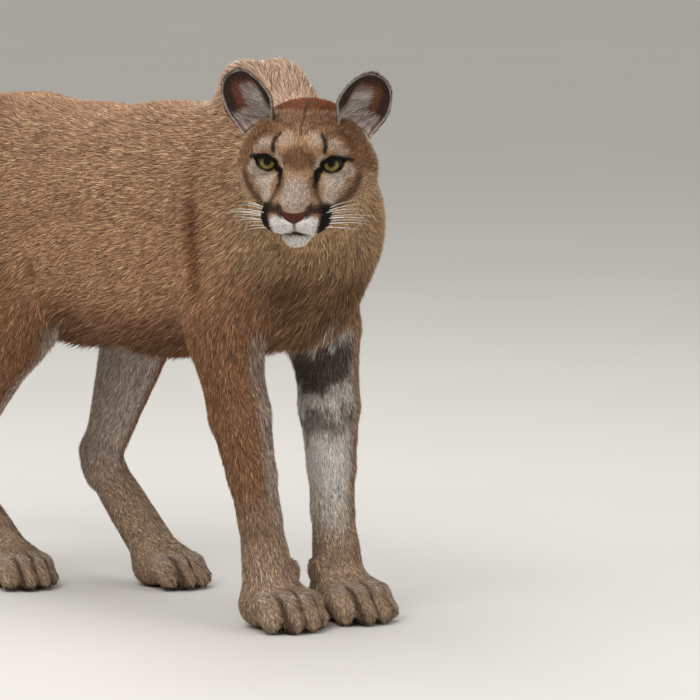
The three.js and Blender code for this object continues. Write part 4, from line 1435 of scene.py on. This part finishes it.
def ear_grounds(side):
    points, triangles, where = ear_surface(side)
    s, t, back = where.T
    tip = ear_place(ear_point(np.ones(1), np.zeros(1), 0.0), side)[0]
    root = ear_place(ear_point(np.zeros(1), np.zeros(1), 0.0), side)[0]
    inward = ear_place(ear_point(np.full(1, 0.5), np.ones(1), 0.0), side)[0]
    outward = ear_place(ear_point(np.full(1, 0.5), -np.ones(1), 0.0), side)[0]
    up = unit(tip - root)
    across = unit(outward - inward)
    hairy = ear_hair(s, t) * (1 - back)
    lie = column(np.ones(len(points))) * up + column(hairy * 0.9) * across
    coat = mix(vec(*EAR_DOWN), vec(*EAR_HAIR), column(hairy))
    coat = mix(coat, vec(*EAR_BACK), column(back))
    colour = ear_markings(where, palette())
    ground = Ground(points, triangles, lie, coat, colour)
    ground.contrast = EAR_CONTRAST
    on_back = back[triangles].mean(1) > 0.5
    hairy_rows = s[triangles].min(1) > EAR_BARE_ROOT
    return [ground.part(on_back & hairy_rows), ground.part(~on_back & hairy_rows)]


class CougarSkin(bpy.types.Operator):
    """One closed skin over the whole body, with lids, lips and folds, painted with the coat's markings"""

    bl_idname = "cougar.skin"
    bl_label = "Skin"

    def execute(self, context):
        ground, _, _ = body_ground()
        points, triangles = [ground.points], [ground.triangles]
        colours = [ground.colour * UNDERCOAT_SHADE]
        start = len(ground.points)
        for side in (LEFT, RIGHT):
            ear_points, ear_triangles, where = ear_surface(side)
            points.append(ear_points)
            triangles.append(ear_triangles + start)
            colours.append(ear_markings(where, palette()))
            start += len(ear_points)
        mesh = new_mesh("skin", np.concatenate(points), np.concatenate(triangles))
        paint(mesh, np.concatenate(colours))
        material = hair_material("Undercoat", 0.0016, 0.8, 0.8, 0.4)
        flesh_nodes = [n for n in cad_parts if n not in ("nose", "eye_left", "eye_right")]
        add_piece(mesh, material, flesh_nodes)
        return {"FINISHED"}


class CougarCoatPieces(bpy.types.Operator):
    """Short tufts over the whole skin, thin and overlapping, lying along the body"""

    bl_idname = "cougar.coat"
    bl_label = "Coat"

    def execute(self, context):
        material = hair_material("Coat", 0.002, 1.3, 0.6, 0)
        ground, regions = coat_regions()
        for name, rows in regions.items():
            coat_piece(name, [ground.part(rows)], material)
        for name, side in (("coat_ear_left", LEFT), ("coat_ear_right", RIGHT)):
            coat_piece(name, ear_grounds(side), material)
        return {"FINISHED"}


# Nose leather
LEATHER_TOP = -31.5
LEATHER_FOOT = -49.5
LEATHER_DEPTH = 0.6
NOSTRIL = (58, 12, -38)
NOSTRIL_RADII = (9, 4.2, 3.2)
NOSTRIL_SLIT = ((57, 13, -38), (50, 18, -36))


def leather(q):
    """The outline of the nose leather: wide at its top and narrow at its foot, on q folded."""
    height = (q[:, 2] - LEATHER_FOOT) / (LEATHER_TOP - LEATHER_FOOT)
    sides = (q[:, 1] - 2.5 - 15.5 * smooth(height, 0.0, 0.85)) * 0.8
    top = q[:, 2] - LEATHER_TOP - 0.013 * q[:, 1] ** 2
    foot_edge = LEATHER_FOOT - q[:, 2]
    return highest(sides, top, foot_edge, 42 - q[:, 0])


def nose_leather(p):
    q = folded(HEAD.local(p))
    d = head_outline(q) + LEATHER_DEPTH
    d = -join(-d, -(leather(q) + 1.0), 3)
    slit = segment_distance(q, *NOSTRIL_SLIT) - 1.7
    d = carve(d, join(egg(NOSTRIL, NOSTRIL_RADII)(q), slit, 2), 1.5)
    groove = highest(q[:, 1] - 0.4, -2 - d, q[:, 2] + 36)
    return carve(d, groove, 1.6)


class CougarNose(bpy.types.Operator):
    """The bare leather of the nose, with its nostrils and the groove between them"""

    bl_idname = "cougar.nose"
    bl_label = "Nose leather"

    def execute(self, context):
        centre = HEAD.world((54, 0, -42))
        points, triangles = net(nose_leather, centre - 26, centre + 26, 0.9)
        points = settle(nose_leather, points, h=0.3, rounds=2, most=1.0)
        q = folded(HEAD.local(points))
        settings = context.scene.cougar_features
        colours = linear(settings.nose_colour) + np.zeros((len(points), 3), np.float32)
        foot_edge = smooth(leather(q), -4, -1.5) * smooth(q[:, 2], -40, -46)
        dark = np.maximum(smooth(q[:, 1], 10, 15), foot_edge)
        nostril = smooth(egg(NOSTRIL, NOSTRIL_RADII)(q), 1.2, -0.5)
        colours = mix(colours, palette()["black"], column(np.clip(dark * 0.85 + nostril, 0, 1)))
        mesh = new_mesh("nose_leather", points, triangles)
        paint(mesh, colours)
        shader = Shader(
            "Nose leather", Roughness=0.5, Coat_Weight=0.1, Coat_Roughness=0.3, Specular_IOR_Level=0.2
        )
        shader.tick(0.004, 0.7)
        inputs = {"Scale": 900, "Vector": shader.node("ShaderNodeTexCoord").outputs["Object"]}
        pebbles = shader.node("ShaderNodeTexVoronoi", inputs, feature="SMOOTH_F1")
        shader.relief(pebbles.outputs["Distance"], 0.5, 0.0006, invert=True)
        add_piece(mesh, shader.material, ["nose"])
        return {"FINISHED"}


class CougarFeatures(bpy.types.PropertyGroup):
    nose_colour: colour_property("Nose", "Brick-red middle of the nose leather", 72, 26, 12)
    iris_colour: colour_property("Iris", "Olive yellow of the iris", 124, 108, 58)
    iris_ring: colour_property("Iris ring", "Darker ring round the iris", 70, 54, 28)
    iris_half: number_property("Iris radius", "Radius of the iris", 0.0084, min=0.004, unit="LENGTH")
    pupil_half: number_property(
        "Pupil radius", "Radius of the round pupil", 0.0036, min=0.001, unit="LENGTH"
    )
    whisker_length: number_property(
        "Whisker length", "Length of the longest whisker", 0.078, unit="LENGTH"
    )
    whisker_thick: number_property(
        "Whisker thickness", "Radius of a whisker at its root", 0.00042, unit="LENGTH"
    )


# Eyes
EYE_RINGS = 56
EYE_SEGMENTS = 64
CORNEA_BULGE = 1.1
PUPIL_COLOUR = (0.004, 0.004, 0.004, 1)
RIM_COLOUR = (0.022, 0.015, 0.012, 1)
GAZE = unit(vec(0.93, 0.0, 0.3))


class CougarEyes(bpy.types.Operator):
    """Two eyeballs with a bulging cornea, olive irises and round pupils"""

    bl_idname = "cougar.eyes"
    bl_label = "Eyes"

    def execute(self, context):
        settings = context.scene.cougar_features
        iris, pupil = settings.iris_half / MM, settings.pupil_half / MM
        across = unit(np.cross(vec(0, 0, 1), GAZE))
        axes = np.stack([across, np.cross(GAZE, across), GAZE])
        angle = np.linspace(0, np.pi, EYE_RINGS + 1)[1:-1]
        turn = np.linspace(0, 2 * np.pi, EYE_SEGMENTS, endpoint=False)
        a, b = np.meshgrid(angle, turn, indexing="ij")
        ball = np.stack([np.sin(a) * np.cos(b), np.sin(a) * np.sin(b), np.cos(a)], -1).reshape(-1, 3)
        ball = np.concatenate([ball, [(0, 0, 1), (0, 0, -1)]])
        bulge = CORNEA_BULGE * smooth(np.degrees(np.arccos(ball[:, 2])), 42, 12)
        ball = ball * (EYE_RADIUS - 0.15 + bulge)[:, None]
        ring = np.arange(EYE_SEGMENTS)
        after = (ring + 1) % EYE_SEGMENTS
        last = (EYE_RINGS - 2) * EYE_SEGMENTS
        front, back = len(ball) - 2, len(ball) - 1
        front_cap = np.stack([np.full(EYE_SEGMENTS, front), ring, after], 1)
        back_cap = np.stack([last + after, last + ring, np.full(EYE_SEGMENTS, back)], 1)
        sides = between_rings(EYE_RINGS - 1, EYE_SEGMENTS)[:, ::-1]
        faces = np.concatenate([front_cap, back_cap, sides])
        material = self.eye_material(settings, iris, pupil)
        for name, side in (("eye_left", LEFT), ("eye_right", RIGHT)):
            centre = vec(EYE[0], side * EYE[1], EYE[2])
            points = HEAD.world(centre + ball @ axes)
            mesh = new_mesh("ball_of_" + name, points, faces)
            give(mesh, "iris_place", "FLOAT_VECTOR", "vector", ball)
            add_piece(mesh, material, [name])
        return {"FINISHED"}

    def eye_material(self, settings, iris, pupil):
        shader = Shader("Eye", Roughness=0.4, Coat_Weight=0.22, Coat_Roughness=0.03, Specular_IOR_Level=0.02)
        place = shader.node("ShaderNodeAttribute", attribute_name="iris_place").outputs["Vector"]
        parted = shader.node("ShaderNodeSeparateXYZ", {0: place}).outputs
        flat = shader.node("ShaderNodeCombineXYZ", {"X": parted["X"], "Y": parted["Y"]}).outputs[0]
        radius = shader.node("ShaderNodeVectorMath", {0: flat}, operation="LENGTH").outputs["Value"]
        direction = shader.node("ShaderNodeVectorMath", {0: flat}, operation="NORMALIZE").outputs[0]
        fibre_inputs = {"Vector": direction, "Scale": 9, "Detail": 4}
        fibres = shader.node("ShaderNodeTexNoise", fibre_inputs).outputs["Fac"]
        wobble_inputs = {0: fibres, 1: 2.0, 2: radius}
        wobble = shader.node("ShaderNodeMath", wobble_inputs, operation="MULTIPLY_ADD").outputs[0]
        scaled = shader.node("ShaderNodeMath", {0: wobble, 1: EYE_RADIUS}, operation="DIVIDE").outputs[0]
        ramp = shader.node("ShaderNodeValToRGB", {"Fac": scaled})
        ring, middle = linear(settings.iris_ring), linear(settings.iris_colour)
        stops = ramp.color_ramp.elements
        stops.remove(stops[1])
        stops[0].color = (*ring, 1)
        for at, colour in (
            (pupil + 1.6, ring),
            (pupil + 3.0, middle),
            (iris + 0.4, middle),
            (iris + 1.8, ring * 0.3),
        ):
            stops.new(at / EYE_RADIUS).color = (*colour, 1)

        def step(value, start, end, low=0.0, kind="LINEAR"):
            inputs = {"Value": value, "From Min": start, "From Max": end, "To Min": low}
            return shader.node("ShaderNodeMapRange", inputs, interpolation_type=kind).outputs[0]

        def layered(under, colour, amount):
            inputs = {"Factor": amount, "A": under, "B": colour}
            return shader.node("ShaderNodeMix", inputs, data_type="RGBA").outputs["Result"]

        # Painted shadow of the upper lid and brow: the iris darkens towards its top
        lid_shadow = step(parted["Y"], LID_RISE, -2.5, 0.1, "SMOOTHSTEP")
        shade_inputs = {0: ramp.outputs["Color"], "Scale": lid_shadow}
        lid_shadowed_iris = shader.node("ShaderNodeVectorMath", shade_inputs, operation="SCALE").outputs[0]
        colour = layered(lid_shadowed_iris, PUPIL_COLOUR, step(radius, pupil + 0.25, pupil - 0.25))
        shader.colour_from(layered(colour, RIM_COLOUR, step(radius, iris + 0.3, iris + 1.1)))
        return shader.material


# Whiskers: the height of each row on a pad, how many it has, and its share of the longest one's length
WHISKER_ROWS = ((-41, 3, 0.8), (-46, 4, 1.0), (-51, 4, 0.95), (-56, 3, 0.75))
WHISKER_STEPS = 14


def whisker_paths():
    """The line of each whisker, as points in the cat's frame."""
    rng = np.random.default_rng(5)
    paths = []
    longest = bpy.context.scene.cougar_features.whisker_length / MM
    for side in (LEFT, RIGHT):
        for height, number, share_of_length in WHISKER_ROWS:
            for i in range(number):
                start = vec(58 - 7 * i, 22 + 2.6 * i, height + rng.uniform(-1, 1))
                away = vec(-0.42 - 0.1 * i, 1.0, 0.12 + (height + 47) * 0.02)
                away = unit(away + rng.normal(size=3) * 0.06)
                length = longest * share_of_length * rng.uniform(0.75, 1.0) * (1 - 0.06 * i)
                u = np.linspace(0, 1, WHISKER_STEPS)[:, None]
                line = start + away * u * length + vec(-0.12, -0.04, -0.24) * (u**2 * length)
                line[0] -= away * 4
                line[:, 1] *= side
                paths.append(HEAD.world(line))
    return paths


def tube_tree(material):
    """Geometry Nodes: every chain of edges becomes a closed tube, as thick as its taper attribute says."""
    inputs = (
        ("Geometry", "NodeSocketGeometry", None),
        ("Sides", "NodeSocketInt", 6),
        ("Root radius", "NodeSocketFloat", 0.0004),
    )
    outputs = (("Geometry", "NodeSocketGeometry"),)
    tree, given, result = add_group("Tapered hairs", "GeometryNodeTree", inputs, outputs)
    curve = add_node(tree, "GeometryNodeMeshToCurve", {"Mesh": given["Geometry"]})
    profile_inputs = {"Resolution": given["Sides"], "Radius": given["Root radius"]}
    profile = add_node(tree, "GeometryNodeCurvePrimitiveCircle", profile_inputs)
    taper = add_node(tree, "GeometryNodeInputNamedAttribute", {"Name": "taper"}, data_type="FLOAT")
    sweep_inputs = {
        "Curve": curve.outputs["Curve"],
        "Profile Curve": profile.outputs["Curve"],
        "Scale": taper.outputs["Attribute"],
        "Fill Caps": True,
    }
    made = add_node(tree, "GeometryNodeCurveToMesh", sweep_inputs).outputs["Mesh"]
    for kind in ("GeometryNodeSetShadeSmooth", "GeometryNodeRealizeInstances"):
        made = add_node(tree, kind, {"Geometry": made}).outputs["Geometry"]
    finish = add_node(tree, "GeometryNodeSetMaterial", {"Geometry": made, "Material": material})
    tree.links.new(finish.outputs["Geometry"], result["Geometry"])
    return tree


class CougarWhiskers(bpy.types.Operator):
    """Stiff white whiskers in rows on the two pads, each a closed tapering tube"""

    bl_idname = "cougar.whiskers"
    bl_label = "Whiskers"

    def execute(self, context):
        paths = whisker_paths()
        points = np.concatenate(paths)
        mesh = bpy.data.meshes.new("whisker_lines")
        mesh.vertices.add(len(points))
        mesh.vertices.foreach_set("co", to_frame(points).ravel())
        starts = np.arange(len(points)).reshape(-1, WHISKER_STEPS)[:, :-1].ravel()
        edges = np.stack([starts, starts + 1], 1).astype(np.int32)
        mesh.edges.add(len(edges))
        mesh.edges.foreach_set("vertices", edges.ravel())
        taper = np.tile(1 - 0.85 * np.linspace(0, 1, WHISKER_STEPS) ** 1.3, len(paths))
        give(mesh, "taper", "FLOAT", "value", taper)
        shader = Shader("Whisker", Base_Color=(0.8, 0.77, 0.72, 1), Roughness=0.35)
        lines = bpy.data.objects.new("whisker_lines", mesh)
        context.scene.collection.objects.link(lines)
        modifier = lines.modifiers.new("Tubes", "NODES")
        modifier.node_group = tube_tree(shader.material)
        for item in modifier.node_group.interface.items_tree:
            if item.name == "Root radius":
                modifier[item.identifier] = context.scene.cougar_features.whisker_thick
        evaluated = lines.evaluated_get(context.evaluated_depsgraph_get())
        made = bpy.data.meshes.new_from_object(evaluated)
        made.name = "whiskers"
        bpy.data.objects.remove(lines)
        add_piece(made, None)
        return {"FINISHED"}


# Claws: horns that curve down from the ends of the toes
CLAW_RINGS = 8
CLAW_SIDES = 10
CLAW_LENGTH = 13
CLAW_HALF = 2.3
CLAW_COLOUR = (0.22, 0.16, 0.11, 1)


def claw_points(place, k, side, reach):
    """Rings of one claw, half sunk in its toe."""
    rings = []
    for i in range(CLAW_RINGS):
        u = i / (CLAW_RINGS - 1)
        sweep = math.radians(20 + 75 * u)
        centre = vec(
            (reach + 4) * k + CLAW_LENGTH * 0.75 * math.sin(sweep) - 4,
            side * 1.03 * k,
            (20 * k + CLAW_LENGTH * 0.75 * (math.cos(sweep) - 0.75)),
        )
        over = vec(math.sin(sweep), 0, math.cos(sweep))
        half = CLAW_HALF * k * max(1 - u, 0.06) ** 0.6
        turn = np.linspace(0, 2 * np.pi, CLAW_SIDES, endpoint=False)
        ring = centre + half * (column(0.7 * np.cos(turn)) * vec(0, 1, 0) + column(np.sin(turn)) * over)
        rings.append(place.world(ring))
    return rings


def loft(rings):
    """Triangles through rings of points of one size, closed at both ends."""
    n = len(rings[0])
    last = (len(rings) - 1) * n
    triangles = [between_rings(len(rings), n)]
    for k in range(1, n - 1):
        triangles.append(np.array([[0, k + 1, k], [last, last + k, last + k + 1]]))
    return np.concatenate(rings), np.concatenate(triangles)


class CougarClaws(bpy.types.Operator):
    """Claws, drawn in so that only their tips show from the fur of the toes"""

    bl_idname = "cougar.claws"
    bl_label = "Claws"

    def execute(self, context):
        points, triangles, start = [], [], 0
        for leg in LEGS.values():
            for side, reach, _ in TOES:
                claw, faces = loft(claw_points(foot_frame(leg), leg["size"], side, reach))
                points.append(claw)
                triangles.append(faces + start)
                start += len(claw)
        mesh = new_mesh("claws", np.concatenate(points), np.concatenate(triangles))
        shader = Shader("Claw", Roughness=0.3, Coat_Weight=0.3)
        shader.tick(0.003, 1.2, CLAW_COLOUR)
        add_piece(mesh, shader.material)
        return {"FINISHED"}


# Stage, in metres
FLOOR_HALF = 60
LIGHT_TARGET = (0, 0, 0.35)


class CougarStageSettings(bpy.types.PropertyGroup):
    floor_colour: colour_property("Floor", "Pale grey of the studio floor", 214, 211, 206)
    key_power: number_property("Key light", "Power of the large soft light", 95, min=0, unit="POWER")
    sky: number_property("Sky", "Strength of the even light from all round", 0.55, min=0)


def area_light(name, place, size, power):
    light = bpy.data.lights.new(name, "AREA")
    light.energy = power
    light.size = size
    lamp = bpy.data.objects.new(name, light)
    lamp.location = Vector(place)
    lamp.rotation_euler = (Vector(LIGHT_TARGET) - Vector(place)).to_track_quat("-Z", "Y").to_euler()
    bpy.context.scene.collection.objects.link(lamp)


class CougarStage(bpy.types.Operator):
    """A pale floor, soft lights and the camera"""

    bl_idname = "cougar.stage"
    bl_label = "Stage"

    def execute(self, context):
        settings = context.scene.cougar_stage
        scene = context.scene
        corners = [(x * FLOOR_HALF, y * FLOOR_HALF, 0) for x, y in ((-1, -1), (1, -1), (1, 1), (-1, 1))]
        floor_mesh = bpy.data.meshes.new("floor")
        floor_mesh.from_pydata(corners, [], [(0, 1, 2, 3)])
        floor = bpy.data.objects.new("floor", floor_mesh)
        shader = Shader("Floor", Roughness=0.9)
        shader.tick(0.5, 0.06, (*linear(settings.floor_colour), 1))
        floor_mesh.materials.append(shader.material)
        scene.collection.objects.link(floor)
        for name, place, size, strength in (
            ("key", (-2.6, -1.2, 3.4), 2.6, 1),
            ("top", (0.4, 0.8, 3.8), 3.0, 0.8),
            ("fill", (0.6, -4.4, 1.6), 2.4, 0.35),
        ):
            area_light(name, place, size, settings.key_power * strength)
        world = bpy.data.worlds.new("studio")
        world.use_nodes = True
        background = world.node_tree.nodes["Background"]
        background.inputs["Color"].default_value = (1, 0.98, 0.95, 1)
        background.inputs["Strength"].default_value = settings.sky
        scene.world = world
        scene.view_settings.view_transform = "Standard"
        self.add_camera(scene)
        return {"FINISHED"}

    def add_camera(self, scene):
        back = Vector(toward_camera())
        aim = Vector(AIM) + Vector(frame_shift())
        data = bpy.data.cameras.new("camera")
        data.lens = SENSOR * CAMERA_DISTANCE / (FRAME_PIXELS * MM_PER_PIXEL)
        data.sensor_width = SENSOR
        data.clip_end = 200
        camera = bpy.data.objects.new("camera", data)
        camera.location = (aim + back * CAMERA_DISTANCE) * MM
        camera.rotation_euler = (-back).to_track_quat("-Z", "Y").to_euler()
        scene.collection.objects.link(camera)
        scene.camera = camera


class CougarPanel(bpy.types.Panel):
    bl_idname = "VIEW3D_PT_cougar"
    bl_label = "Cougar"
    bl_space_type = "VIEW_3D"
    bl_region_type = "UI"
    bl_category = "Cougar"

    def draw(self, context):
        layout = self.layout
        for operator in OPERATORS:
            layout.operator(operator.bl_idname)
        for name, group in SETTINGS.items():
            box = layout.box()
            box.label(text=name.replace("cougar_", "").capitalize())
            for key in group.__annotations__:
                box.prop(getattr(context.scene, name), key)


OPERATORS = (CougarStage, CougarSkin, CougarNose, CougarEyes, CougarClaws, CougarWhiskers, CougarCoatPieces)
SETTINGS = {
    "cougar_colours": CougarColours,
    "cougar_coat": CougarCoat,
    "cougar_features": CougarFeatures,
    "cougar_stage": CougarStageSettings,
}


def register():
    for group in (*SETTINGS.values(), *OPERATORS, CougarPanel):
        bpy.utils.register_class(group)
    for name, group in SETTINGS.items():
        setattr(bpy.types.Scene, name, PointerProperty(type=group))


def unregister():
    for name in SETTINGS:
        delattr(bpy.types.Scene, name)
    for group in (CougarPanel, *reversed(OPERATORS), *SETTINGS.values()):
        bpy.utils.unregister_class(group)


def main():
    register()
    bpy.ops.cougar.stage()
    bpy.ops.cougar.skin()
    bpy.ops.cougar.nose()
    bpy.ops.cougar.eyes()
    bpy.ops.cougar.claws()
    bpy.ops.cougar.whiskers()
    bpy.ops.cougar.coat()


if __name__ == "__main__":
    main()
